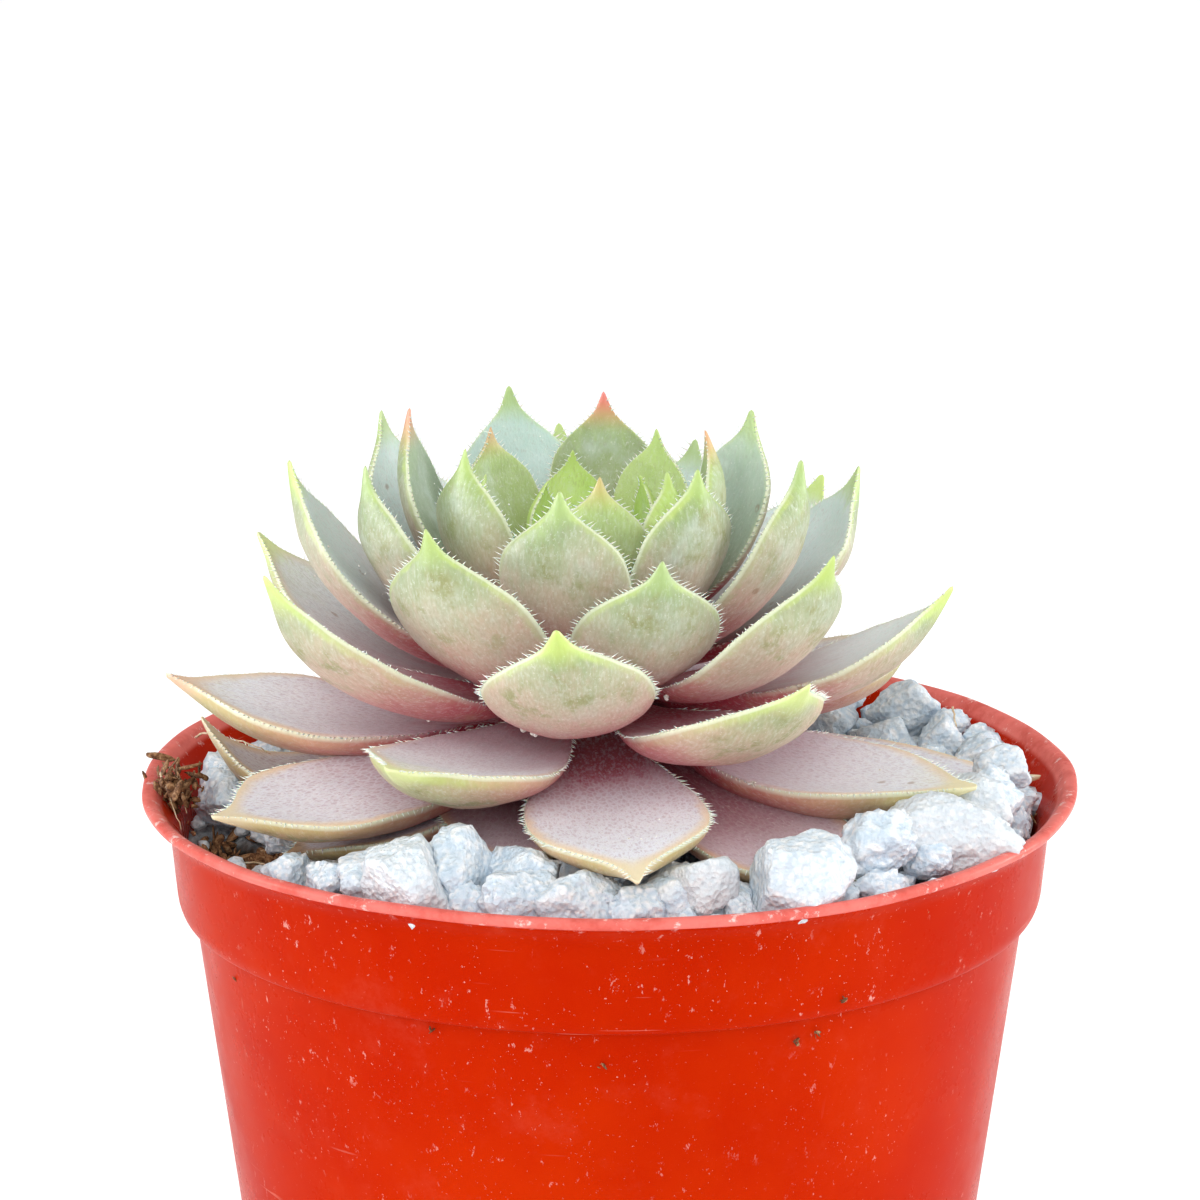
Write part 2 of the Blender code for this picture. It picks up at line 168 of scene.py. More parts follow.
def leaf_skin():
    """Houseleek skin: mint and lime outside, mauve inside on old leaves, rose at the base."""
    m = Material("leaf_skin")
    names = ("along", "rim", "face", "age", "lot", "blush", "dry", "across", "length")
    along, rim, face, age, lot, blush, dry, across, length = map(m.attribute, names)

    def spread(over, lengthways):
        """A place on the leaf, in cycles a millimetre across it and along it."""
        place = {0: m.times(across, over), 1: m.times(length, lengthways), 2: m.times(lot, 90.0)}
        return m.node("ShaderNodeCombineXYZ", place).outputs[0]

    def grain(over, lengthways, detail, roughness):
        return m.noise(1.0, detail, roughness, spread(over, lengthways))

    patch = m.noise(170, 3, 0.6)
    blotch = m.noise(520, 4, 0.65)
    streak = grain(1.9, 0.55, 5, 0.68)
    fibre = grain(5.5, 2.2, 3, 0.65)
    mottle = m.noise(1500, 4, 0.7)
    speck = m.noise(4600, 3, 0.6)
    run = m.shaken(m.shaken(along, patch, 0.26), streak, 0.22)

    # Pink climbs higher on older leaves.
    climb = m.add(run, m.times(m.math("SUBTRACT", 0.45, age), 0.36))
    old_outer = m.ramp(climb, [
        (0.08, 0.4, 0.03, 0.065), (0.24, 0.5, 0.09, 0.1), (0.38, 0.58, 0.23, 0.19),
        (0.54, 0.62, 0.34, 0.21), (0.7, 0.57, 0.42, 0.21), (0.86, 0.5, 0.55, 0.19),
    ])
    young_outer = m.ramp(climb, [
        (0.16, 0.42, 0.035, 0.065), (0.34, 0.52, 0.12, 0.14), (0.45, 0.58, 0.24, 0.22),
        (0.56, 0.6, 0.39, 0.31), (0.68, 0.55, 0.45, 0.33), (0.8, 0.43, 0.455, 0.29),
        (0.9, 0.31, 0.39, 0.2), (1.0, 0.31, 0.44, 0.13),
    ])
    outer = m.mix(m.step(age, 0.6, 0.84), young_outer, old_outer)
    # Olive patches where the waxy bloom is rubbed off, below the tip.
    bare = m.times(m.step(blotch, 0.5, 0.66), m.step(along, 0.5, 0.78), m.step(rim, 0.3, 1.5))
    outer = m.mix(m.times(bare, 0.78), outer, (0.29, 0.3, 0.11))
    worn = m.times(m.step(m.noise(240, 5, 0.7), 0.54, 0.7), m.step(along, 0.35, 0.78, 0.55, 0.16))
    outer = m.mix(worn, outer, (0.52, 0.26, 0.17))

    # The rose base is short on the highest of the old leaves and long on the oldest.
    high = m.math("MAXIMUM", m.times(m.math("SUBTRACT", 0.8, age), 1.4), 0.0)
    short = m.times(m.step(age, 0.64, 0.7), high)
    short = m.add(short, m.step(age, 0.77, 0.84, 0.0, -0.09))
    old_inner = m.ramp(m.add(run, short), [
        (0.1, 0.34, 0.015, 0.04), (0.19, 0.4, 0.06, 0.1), (0.27, 0.56, 0.34, 0.4),
        (0.36, 0.68, 0.59, 0.65), (0.56, 0.76, 0.75, 0.82), (0.84, 0.8, 0.86, 0.93),
        (1.0, 0.8, 0.8, 0.56),
    ])
    side_inner = m.ramp(run, [
        (0.14, 0.5, 0.05, 0.09), (0.3, 0.56, 0.22, 0.26), (0.44, 0.64, 0.6, 0.61),
        (0.62, 0.76, 0.87, 0.88), (0.88, 0.76, 0.92, 0.88), (1.0, 0.56, 0.74, 0.28),
    ])
    young_inner = m.ramp(run, [
        (0.2, 0.22, 0.27, 0.08), (0.5, 0.27, 0.31, 0.12), (0.78, 0.29, 0.38, 0.17),
        (1.0, 0.44, 0.64, 0.15),
    ])
    mint = m.mix(m.step(age, 0.3, 0.6, 0.6, 0.0), side_inner, (0.3, 0.5, 0.43))
    inner = m.mix(m.step(age, 0.26, 0.37), young_inner, mint)
    inner = m.mix(m.step(age, 0.58, 0.8), inner, old_inner)
    # The oldest are mauve under a net of fine pale lines.
    inner = m.mix(m.step(age, 0.77, 0.86, 0.0, 0.36), inner, (0.5, 0.38, 0.47))
    net = m.step(m.voronoi(1.0, "DISTANCE_TO_EDGE", spread(2.6, 1.5)), 0.02, 0.22, 1.0, 0.0)
    net = m.times(net, m.step(age, 0.66, 0.84, 0.0, 0.66), m.step(along, 0.2, 0.45))
    pits = m.step(fibre, 0.47, 0.58)
    inner = m.mix(m.times(pits, m.step(age, 0.55, 0.8, 0.05, 0.5)), inner, (0.42, 0.27, 0.33))
    bloom = m.step(m.add(fibre, m.times(mottle, 0.5)), 0.66, 0.84, 1.0, 0.0)
    bloom = m.times(bloom, m.step(along, 0.35, 0.7), m.step(age, 0.3, 0.65, 0.12, 0.62))
    inner = m.mix(bloom, inner, (0.84, 0.85, 0.88))
    inner = m.mix(net, inner, (0.8, 0.82, 0.89))
    # A warm border, and painted shade: dark magenta on the leaves that lie low in the shade of the others.
    lip = m.step(m.shaken(rim, blotch, 1.3), 0.1, m.step(along, 0.5, 0.85, 0.6, 1.7), 1.0, 0.0)
    lip = m.times(lip, m.step(age, 0.55, 0.8), m.step(along, 0.4, 0.7))
    inner = m.mix(m.times(lip, 0.8), inner, (0.82, 0.62, 0.4))
    painted_shade_mix = m.times(m.attribute("painted_shade_mix"), m.step(along, 0.35, 0.8, 1.0, 0.5))
    inner = m.mix(painted_shade_mix, inner, (0.33, 0.065, 0.1))
    skin = m.mix(m.step(face, -0.25, 0.25), outer, inner)
    # The heart of the rosette is lime green throughout.
    lime = m.mix(m.step(patch, 0.3, 0.7), (0.54, 0.78, 0.16), (0.76, 0.94, 0.34))
    skin = m.mix(m.step(age, 0.08, 0.29, 0.9, 0.0), skin, lime)
    # A waxy bloom whitens the skin in soft clouds and fine grain.
    wax = m.times(m.step(m.noise(330, 4, 0.6), 0.44, 0.74), m.step(rim, 0.4, 2.0))
    wax = m.times(wax, m.step(lot, 0.1, 0.9, 0.3, 0.16), m.step(age, 0.3, 0.7, 1.3, 0.1))
    skin = m.mix(wax, skin, (0.64, 0.75, 0.76))
    skin = m.mix(m.step(fibre, 0.5, 0.66, 0.0, 0.2), skin, (0.78, 0.82, 0.77))
    skin = m.mix(m.step(fibre, 0.32, 0.5, 0.2, 0.0), skin, (0.26, 0.2, 0.12))
    skin = m.mix(m.step(speck, 0.6, 0.7, 0.0, 0.3), skin, (0.9, 0.9, 0.84))
    # Margins: lime near the point, peach on old leaves, and a pale translucent line at the very edge.
    edge = m.mix(m.step(age, 0.55, 0.78), (0.48, 0.54, 0.28), (0.74, 0.46, 0.27))
    edge = m.mix(m.times(m.step(run, 0.6, 0.92), m.step(age, 0.7, 0.78, 1.0, 0.4)), edge, (0.52, 0.66, 0.17))
    rim_near = m.step(m.shaken(rim, blotch, 1.0), 0.0, m.step(age, 0.5, 0.85, 0.4, 0.95), 1.0, 0.0)
    underside = m.step(face, -0.6, 0.15, 0.75, 0.25)
    skin = m.mix(m.times(rim_near, underside, m.step(along, 0.3, 0.6)), skin, edge)
    translucent = m.step(rim, 0.0, 0.1, 0.85, 0.0)
    skin = m.mix(m.times(translucent, m.step(along, 0.25, 0.6)), skin, (0.74, 0.78, 0.58))

    tip = m.ramp(age, [
        (0.0, 0.56, 0.76, 0.18), (0.25, 0.44, 0.6, 0.19), (0.42, 0.38, 0.52, 0.22),
        (0.56, 0.54, 0.7, 0.16),
        (0.7, 0.72, 0.82, 0.36), (0.76, 0.8, 0.7, 0.46), (1.0, 0.76, 0.64, 0.44),
    ])
    skin = m.mix(m.step(along, 0.87, 0.96, 0.0, 0.8), skin, tip)
    skin = m.mix(m.times(blush, m.step(along, 0.84, 1.0)), skin, (0.8, 0.21, 0.18))
    brown = m.mix(m.step(mottle, 0.4, 0.6), (0.3, 0.15, 0.06), (0.55, 0.36, 0.2))
    skin = m.mix(m.times(dry, m.step(m.add(along, m.times(blotch, 0.2)), 0.97, 1.08)), skin, brown)
    # Small brown scars.
    scar = m.times(m.step(m.voronoi(260), 0.1, 0.05), m.step(blotch, 0.46, 0.56))
    skin = m.mix(m.times(scar, 0.5), skin, (0.26, 0.12, 0.05))

    normal = m.bump(fibre, 0.07 * MM, 0.6)
    normal = m.bump(mottle, 0.08 * MM, 0.45, normal)
    return m.finish(
        Base_Color=skin,
        Roughness=m.step(mottle, 0.3, 0.7, 0.46, 0.64),
        Normal=normal,
        Specular_IOR_Level=0.36,
        Subsurface_Weight=0.1,
        Subsurface_Radius=(0.8, 0.6, 0.4),
        Subsurface_Scale=1.0 * MM,
        Sheen_Weight=0.05,
        Sheen_Roughness=0.45,
    )


def hair_skin():
    m = Material("leaf_hair")
    tone = m.mix(m.noise(900, 2), (0.8, 0.84, 0.7), (0.95, 0.96, 0.92))
    return m.finish(Base_Color=tone, Roughness=0.4, Subsurface_Weight=0.3, Subsurface_Scale=0.3 * MM)


def pot_plastic():
    """Thin orange-red plastic with a lip that is rubbed pale and carries a painted highlight, dust, specks and fine
    scratches.
    """
    m = Material("pot_plastic")
    height = m.attribute("height")
    cloud = m.noise(55, 4, 0.6)
    grain = m.noise(2600, 3, 0.6)
    colour = m.mix(m.step(cloud, 0.3, 0.7), (0.44, 0.012, 0.0), (0.5, 0.022, 0.0004))
    # White dust: a film in clouds that is thicker near the top, and small torn specks in clusters.
    film = m.times(m.step(m.noise(150, 7, 0.75), 0.52, 0.82), m.step(height, 15, 50, 0.0, 0.07))
    colour = m.mix(film, colour, (0.9, 0.34, 0.22))
    cluster = m.step(m.noise(130, 4, 0.65), 0.42, 0.62)
    spot = m.times(m.step(m.noise(1.0, 4, 0.72, m.squeezed((1350, 1350, 800))), 0.63, 0.69), cluster)
    fine = m.times(m.step(m.noise(3600, 3, 0.7), 0.66, 0.72), m.step(cluster, 0.0, 0.5, 0.25, 1.0))
    upper = m.step(height, 30, 52, 0.45, 1.0)
    spot = m.times(m.math("MAXIMUM", spot, fine), upper)
    colour = m.mix(m.times(spot, 0.5), colour, (0.93, 0.56, 0.48))
    # Fine scratches: steep ones, and level ones where pots were stacked.
    steep = m.step(m.noise(1.0, 2, 0.5, m.squeezed((1600, 1600, 60))), 0.69, 0.72)
    steep = m.times(steep, m.step(m.noise(60, 2), 0.54, 0.68))
    level = m.step(m.noise(1.0, 2, 0.5, m.squeezed((90, 90, 2600), (0.0, 0.35, 0.5))), 0.69, 0.72)
    level = m.times(level, m.step(m.noise(85, 2), 0.56, 0.7))
    scratch = m.math("MAXIMUM", steep, level)
    colour = m.mix(m.times(scratch, 0.3), colour, (0.92, 0.42, 0.32))
    # The lip is pale along its top: rubbed wear, with a painted highlight along its upper edge.
    worn = m.times(m.step(height, 56.0, 56.4), m.step(m.noise(260, 5, 0.7), 0.3, 0.62, 0.45, 0.95))
    colour = m.mix(worn, colour, (0.8, 0.2, 0.17))
    chalk = m.times(m.step(height, 55.4, 56.6), m.step(m.noise(800, 5, 0.75), 0.57, 0.67))
    colour = m.mix(m.times(chalk, 0.7), colour, (0.92, 0.72, 0.68))
    rough = m.step(m.noise(160, 5, 0.7), 0.3, 0.8, 0.24, 0.4)
    rough = m.add(rough, m.times(m.math("MAXIMUM", film, spot), 0.35))
    normal = m.bump(grain, 0.012 * MM, 0.35)
    normal = m.bump(m.noise(24, 2), 0.45 * MM, 0.35, normal)
    normal = m.bump(m.math("MAXIMUM", spot, scratch), 0.03 * MM, 0.5, normal)
    return m.finish(
        Base_Color=colour,
        Roughness=rough,
        Normal=normal,
        Specular_IOR_Level=0.03,
        Specular_Tint=(1.0, 0.46, 0.28, 1.0),
        Subsurface_Weight=0.06,
        Subsurface_Radius=(1.0, 0.25, 0.1),
        Subsurface_Scale=0.8 * MM,
    )


def quartz():
    """Crushed quartz: sugary white grains with painted blue-grey shade between them, some stones warm and clearer."""
    m = Material("quartz")
    lot, clear, grain = m.attribute("lot"), m.attribute("clear"), m.attribute("grain")
    vein = m.noise(420, 6, 0.68)
    grit = m.noise(3400, 4, 0.7)
    # Painted shade: blue-grey where the grains meet, white on the grains themselves.
    painted_shade_mix = m.step(m.shaken(grain, grit, 0.7), 0.05, 0.75)
    white = m.mix(painted_shade_mix, (0.58, 0.71, 0.83), (0.95, 0.97, 0.99))
    white = m.mix(m.step(vein, 0.4, 0.68, 0.0, 0.35), white, (0.7, 0.8, 0.88))
    grey = m.times(m.step(m.noise(1100, 5, 0.72), 0.57, 0.68), m.step(lot, 0.1, 0.8, 0.6, 0.08))
    white = m.mix(grey, white, (0.5, 0.62, 0.74))
    warm = m.mix(m.step(vein, 0.3, 0.7), (0.78, 0.79, 0.78), (0.66, 0.7, 0.72))
    white = m.mix(m.times(clear, 0.62), white, warm)
    stain = m.times(m.step(m.noise(260, 4, 0.6), 0.64, 0.74), 0.14)
    white = m.mix(stain, white, (0.62, 0.54, 0.42))
    normal = m.bump(m.voronoi(2600), 0.2 * MM, 0.8)
    normal = m.bump(grit, 0.14 * MM, 1.0, normal)
    return m.finish(
        Base_Color=white,
        Roughness=m.step(grit, 0.3, 0.7, 0.3, 0.62),
        Normal=normal,
        Specular_IOR_Level=0.5,
        Subsurface_Weight=0.08,
        Subsurface_Radius=(1.0, 1.0, 1.0),
        Subsurface_Scale=0.5 * MM,
    )


def peat():
    """Dark potting mix under the stones, with pale grit worked into it away from the bare patch."""
    m = Material("peat")
    pale = m.attribute("pale")
    crumb = m.noise(900, 6, 0.75)
    dark = m.mix(m.step(crumb, 0.35, 0.7), (0.012, 0.008, 0.006), (0.085, 0.05, 0.03))
    fleck = m.step(m.voronoi(700), 0.22, 0.1)
    dark = m.mix(m.times(fleck, m.step(m.noise(300), 0.5, 0.6)), dark, (0.2, 0.12, 0.06))
    grey = m.mix(m.step(m.noise(1400, 5, 0.7), 0.35, 0.65), (0.3, 0.34, 0.38), (0.8, 0.85, 0.88))
    colour = m.mix(m.times(pale, 0.8), dark, grey)
    normal = m.bump(crumb, 0.5 * MM, 0.9)
    return m.finish(Base_Color=colour, Roughness=0.95, Normal=normal, Specular_IOR_Level=0.2)


def bark():
    m = Material("bark")
    fibre = m.noise(2200, 4, 0.7, distortion=0.8)
    colour = m.ramp(fibre, [
        (0.3, 0.045, 0.02, 0.01), (0.48, 0.18, 0.08, 0.035), (0.62, 0.42, 0.24, 0.12),
        (0.75, 0.62, 0.45, 0.28),
    ])
    normal = m.bump(fibre, 0.15 * MM, 0.8)
    return m.finish(Base_Color=colour, Roughness=0.9, Normal=normal, Specular_IOR_Level=0.25)


def straw():
    m = Material("straw")
    fibre = m.noise(1800, 3)
    colour = m.mix(m.step(fibre, 0.35, 0.65), (0.5, 0.33, 0.18), (0.8, 0.66, 0.46))
    return m.finish(Base_Color=colour, Roughness=0.7, Subsurface_Weight=0.1, Subsurface_Scale=0.3 * MM)


def crumb_white():
    m = Material("crumb")
    tone = m.mix(m.step(m.noise(3000, 3), 0.4, 0.6), (0.66, 0.6, 0.52), (0.95, 0.94, 0.9))
    return m.finish(Base_Color=tone, Roughness=0.8, Normal=m.bump(m.noise(5200, 2), 0.05 * MM))


def floor_paper():
    m = Material("floor_paper")
    tone = m.mix(m.noise(900, 4), (0.9, 0.9, 0.9), (0.92, 0.92, 0.92))
    glow = {"Emission_Color": tone, "Emission_Strength": 0.32}  # keeps the paper near white
    return m.finish(Base_Color=tone, Roughness=0.9, Specular_IOR_Level=0.1, **glow)


# ---- mesh helpers ----


def mesh_piece(name, points, faces, materials, attributes=None, indices=None):
    """A new smooth object. The attributes are values at its points, which the materials read."""
    mesh = bpy.data.meshes.new(name)
    mesh.from_pydata([tuple(p) for p in np.asarray(points)], [], [tuple(int(i) for i in f) for f in faces])
    for material in materials:
        mesh.materials.append(material)
    if indices is not None:
        mesh.polygons.foreach_set("material_index", np.asarray(indices, np.int32))
    for key, values in (attributes or {}).items():
        made = mesh.attributes.new(key, "FLOAT", "POINT")
        made.data.foreach_set("value", np.asarray(values, np.float32))
    mesh.shade_smooth()
    obj = bpy.data.objects.new(name, mesh)
    bpy.context.scene.collection.objects.link(obj)
    return obj


def part_of(obj, slot, *nodes):
    """Puts a piece on the object's one body and hides the CAD nodes that it stands for. The slot is not used."""
    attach(obj, BODY)
    if nodes:
        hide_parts(*nodes)
    return obj


def polar(reach, turn, height):
    return reach * math.cos(turn), reach * math.sin(turn), height


def curve_at(a, b, c, f):
    """A point on the curve from a to c that b pulls towards itself."""
    return a * (1 - f) ** 2 + b * 2 * f * (1 - f) + c * f**2


def bands(rings, sides):
    """The four-sided faces between rings of points."""
    faces = []
    for i in range(rings - 1):
        for k in range(sides):
            a, b = i * sides + k, i * sides + (k + 1) % sides
            faces.append((a, b, b + sides, a + sides))
    return faces


def shell_faces(rings, sides):
    """The faces of a closed shell, whose two end points come after its rings."""
    faces, first, end = bands(rings, sides), rings * sides, (rings - 1) * sides
    for k in range(sides):
        j = (k + 1) % sides
        faces += [(first, j, k), (first + 1, end + k, end + j)]
    return faces


def turned_over(faces):
    return [(f[0], *f[:0:-1]) for f in faces]


def tube(path, radii, sides):
    """Points and faces of a closed round tube along a path."""
    path = np.asarray(path, float)
    tangents = np.gradient(path, axis=0)
    tangents /= np.linalg.norm(tangents, axis=1)[:, None]
    helper = np.array([0.0, 0.0, 1.0]) if abs(tangents[0][2]) < 0.9 else np.array([1.0, 0.0, 0.0])
    points = []
    for at, along, radius in zip(path, tangents, radii):
        u = np.cross(along, helper)
        u /= np.linalg.norm(u)
        v = np.cross(along, u)
        for k in range(sides):
            a = 2 * math.pi * k / sides
            points.append(at + radius * (math.cos(a) * u + math.sin(a) * v))
    return np.array(points + [path[0], path[-1]]), shell_faces(len(path), sides)


def joined(parts):
    """Several (points, faces) as one."""
    points, faces, start = [], [], 0
    for own, own_faces in parts:
        points.append(own)
        faces += [tuple(i + start for i in f) for f in own_faces]
        start += len(own)
    return np.concatenate(points), faces


def piece_of(parts, name, material, slot, *nodes):
    points, faces = joined(parts)
    return part_of(mesh_piece(name, points, faces, [material]), slot, *nodes)


def smooth_run(stations, values, at):
    """Values between stations on a smooth curve with no overshoot."""
    stations, values, at = np.asarray(stations, float), np.asarray(values, float), np.asarray(at, float)
    slopes = np.diff(values) / np.diff(stations)
    tangents = np.concatenate([[slopes[0]], (slopes[1:] + slopes[:-1]) / 2, [slopes[-1]]])
    for i in range(1, len(values) - 1):
        if slopes[i - 1] * slopes[i] <= 0:
            tangents[i] = 0.0
    i = np.clip(np.searchsorted(stations, at, side="right") - 1, 0, len(slopes) - 1)
    h = stations[i + 1] - stations[i]
    t = (at - stations[i]) / h
    return (
        values[i] * (1 + 2 * t) * (1 - t) ** 2
        + tangents[i] * h * t * (1 - t) ** 2
        + values[i + 1] * t**2 * (3 - 2 * t)
        + tangents[i + 1] * h * t**2 * (t - 1)
    )


# ---- leaves ----

LEAF_SEED = 900
LEAF_RINGS, LEAF_SIDES = 50, 40
COARSE_RINGS, FINE_FROM = 20, 0.62  # the rings lie closer beyond this share of the length
# Half width and depth along a leaf, as shares of the greatest.
WIDTH_AT = (0.0, 0.12, 0.28, 0.45, 0.58, 0.68, 0.77, 0.84, 0.89, 0.93, 0.965, 1.0)
WIDTH = (0.3, 0.44, 0.72, 0.94, 1.0, 0.975, 0.86, 0.6, 0.35, 0.18, 0.1, 0.035)
OLD_WIDTH = (0.3, 0.44, 0.72, 0.94, 1.0, 0.94, 0.76, 0.53, 0.34, 0.19, 0.11, 0.035)
DEPTH_AT = (0.0, 0.15, 0.4, 0.6, 0.78, 0.88, 0.94, 1.0)
DEPTH = (0.3, 0.66, 1.0, 0.98, 0.76, 0.5, 0.3, 0.1)
HAIR_STEP = 0.36 * MM
HAIR_LENGTH = 0.5 * MM
HAIR_RADIUS = 0.062 * MM
HAIR_ROOT = 0.09 * MM  # how deep a hair stands in the skin
# Bow and thickness in mm at six ages, from the youngest leaf to the oldest.
BELLY = (0.1, 0.12, 0.13, 0.11, 0.05, -0.02)
THICKNESS = (0.84, 1.4, 1.9, 2.05, 2.6, 2.0)
# How far the points of old leaves sag from straight, in mm: sideways, up, and the curl of the point itself.
SAG = {
    10: (0, 0.2, 0.1), 13: (0, 0.5, 0.1), 18: (0, 0.4, 0.1), 20: (0, 0.9, 0.2), 25: (0, 0.8, 0.3), 26: (0, 0.6, 0.3),
    34: (0, -0.6, 0.4), 35: (0, -0.9, 0.4), 37: (0, -0.5, 0.0), 38: (0, -0.3, 0.4), 39: (0, -2.3, 0.4),
    40: (0, -0.6, -0.5), 42: (0, -3.4, -0.3), 43: (0, -2.2, 0.2), 45: (0, -1.3, -1.3), 46: (0, -4.6, 0.3),
    47: (0, -3.0, 0.2), 48: (0, -0.9, 0.2), 50: (-1.8, -2.2, -0.3), 51: (0, -0.2, 2.4), 53: (0, -0.8, 0.0),
    55: (0, -1.4, 0.0), 56: (2.0, -0.9, 0.3),
}
BROAD = (45, 48, 50)  # old leaves with full shoulders
LONGER = {42: 1.05, 47: 1.07, 56: 0.9}  # length against the CAD leaf's
DEEPER = {51: 0.1}  # extra bow of the back
# How red the point is, how dry it is, and how much dark magenta shade is painted on a leaf that lies in the shade of
# the others.
OWN_LOOKS = {
    "blush": {15: 1.0, 12: 0.55, 13: 0.6, 17: 0.75, 43: 0.35, 11: 0.35},
    "dry": {56: 1.0},
    "painted_shade_mix": {53: 0.9, 50: 0.72, 55: 0.5},
}


def crown_base(number):
    """Distance from the crown's axis and height at which a leaf grows."""
    age = number / OLDEST_LEAF
    radius = CROWN_RADIUS * math.sin(math.pi / 2 * age**0.6)
    return radius, SEAT + CROWN_RISE * (1 - age) ** 0.8


def leaf_frame(number):
    """(base, tip, unit vector away from the crown, half width) of a leaf, read from its CAD node."""
    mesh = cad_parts[f"leaf_{number:02d}"].data
    points = np.array([v.co for v in mesh.vertices])
    radius, height = crown_base(number)
    root = np.array([CROWN.x, CROWN.y, height])
    tip = points[np.argmax(np.linalg.norm(points - root, axis=1))]
    away = tip - root
    away[2] = 0.0
    away /= np.linalg.norm(away)
    lateral = np.array([-away[1], away[0], 0.0])
    sideways, up, _ = SAG.get(number, (0, 0, 0))
    tip = root + (tip - root) * LONGER.get(number, 1.0) + lateral * sideways * MM + UP * up * MM
    half = float(np.abs((points - root) @ lateral).max())
    return root + away * radius, tip, away, half


def bud_frame(number):
    """The same for a leaf of the closed bud, placed by rule."""
    radius, height = crown_base(number)
    turn = FIRST_LEAF_TURN - GOLDEN_ANGLE * number
    away = np.array([math.sin(turn), -math.cos(turn), 0.0])
    base = np.array([CROWN.x, CROWN.y, height]) + away * radius
    reach = (0.9 + 0.55 * number) * MM
    tip = np.array([CROWN.x, CROWN.y, (76.0 + 0.35 * number) * MM]) + away * reach
    return base, tip, away, (1.5 + 0.17 * number) * MM


def leaf_surface(number, placed, draw):
    """Points, faces and skin values of one closed leaf, and the margins that carry its hairs."""
    base, tip, away, half = placed
    age = number / OLDEST_LEAF
    lateral = np.array([-away[1], away[0], 0.0])
    chord = tip - base
    normal = np.cross(lateral, chord)
    normal /= np.linalg.norm(normal)
    length = np.linalg.norm(chord)
    ages = np.linspace(0, 1, len(BELLY))
    belly = float(smooth_run(ages, BELLY, [age])[0]) + DEEPER.get(number, 0.0)
    thick = float(smooth_run(ages, THICKNESS, [age])[0]) * MM
    bow = base + chord * 0.5 + normal * 2 * belly * length * (1 if normal @ (away - UP) > 0 else -1)

    t = np.concatenate([
        np.linspace(0, FINE_FROM, COARSE_RINGS, endpoint=False),
        np.linspace(FINE_FROM, 1.0, LEAF_RINGS - COARSE_RINGS),
    ])
    centre = base * ((1 - t) ** 2)[:, None] + bow * (2 * t * (1 - t))[:, None] + tip * (t**2)[:, None]
    along = np.gradient(centre, axis=0)
    along /= np.linalg.norm(along, axis=1)[:, None]
    above = np.cross(along, lateral)
    if above[len(t) // 2] @ (UP - away * 0.2) < 0:
        above = -above
    # Each leaf differs a little: its shoulders, a slow sideways bend, a roll and the curl of its point.
    skew = draw.uniform(-0.05, 0.05)
    bend = draw.uniform(-0.5, 0.5) * MM * (0.3 + age)
    roll = draw.uniform(-0.07, 0.07)
    curl = draw.uniform(0.1, 0.5) * MM * (0.35 + 0.65 * age)
    curl = SAG[number][2] * MM if number in SAG else curl
    old = 0.0 if number in BROAD else min(1.0, max(0.0, (age - 0.5) / 0.2))
    width = half * ((1 - old) * smooth_run(WIDTH_AT, WIDTH, t) + old * smooth_run(WIDTH_AT, OLD_WIDTH, t))
    depth = thick * smooth_run(DEPTH_AT, DEPTH, t)
    cup = 0.13 + 0.04 * draw.random()
    curled = curl * np.clip((t - 0.72) / 0.28, 0, 1) ** 2
    centre = centre + above * curled[:, None] + lateral * (bend * t**2)[:, None]

    around = np.arange(LEAF_SIDES) * 2 * math.pi / LEAF_SIDES
    side, up = np.cos(around), np.sin(around)
    s = side[None, :] * np.ones((len(t), 1))
    lift_up = 0.2 * depth[:, None] * np.clip(up, 0, 1)[None, :]
    lift_low = 0.8 * depth[:, None] * np.clip(-up, 0, 1)[None, :] ** 0.92
    keel = 0.1 * depth[:, None] * (np.clip(-up, 0, 1)[None, :] ** 6) * np.clip((t - 0.35) / 0.4, 0, 1)[:, None]
    wave = 0.1 * MM * np.sin(t * 9 + number)[:, None] * (s**2) * np.sign(s)
    height = lift_up - lift_low - keel + cup * width[:, None] * (s**2 - 0.5) + wave
    y = s * width[:, None] * (1 + skew * np.sign(s) * np.sin(math.pi * t)[:, None])
    y, height = y * math.cos(roll) - height * math.sin(roll), y * math.sin(roll) + height * math.cos(roll)
    points = centre[:, None, :] + lateral[None, None, :] * y[..., None] + above[:, None, :] * height[..., None]
    points = points.reshape(-1, 3)
    # Shallow dents and swellings of the flesh.
    for i, p in enumerate(points):
        at = Vector(p) / (3.2 * MM)
        soft = noise.noise(at + Vector((number, 0, 0))) * 0.1 * MM + noise.noise(at * 3.1) * 0.03 * MM
        row = i // LEAF_SIDES
        points[i] = p + above[row] * soft * min(1.0, depth[row] / (1.0 * MM))

    faces = turned_over(shell_faces(LEAF_RINGS, LEAF_SIDES))
    points = np.concatenate([points, [centre[0] - along[0] * 0.2 * MM, centre[-1] + along[-1] * 0.16 * MM]])

    def ended(skin_values, last=0):
        return np.concatenate([np.ravel(skin_values), [0, last]])

    values = {
        "along": ended(np.repeat(t, LEAF_SIDES), 1),
        "rim": ended((1 - np.abs(s)) * width[:, None] / MM),
        "face": ended(np.tile(up, LEAF_RINGS)),
        "across": ended(s * width[:, None] / MM),
        "length": ended(np.repeat(t, LEAF_SIDES), 1) * length / MM,
    }
    end = (LEAF_RINGS - 1) * LEAF_SIDES
    margins = [points[k : end + k + 1 : LEAF_SIDES] for k in (0, LEAF_SIDES // 2)]
    return points, faces, values, (margins, along, above, lateral)


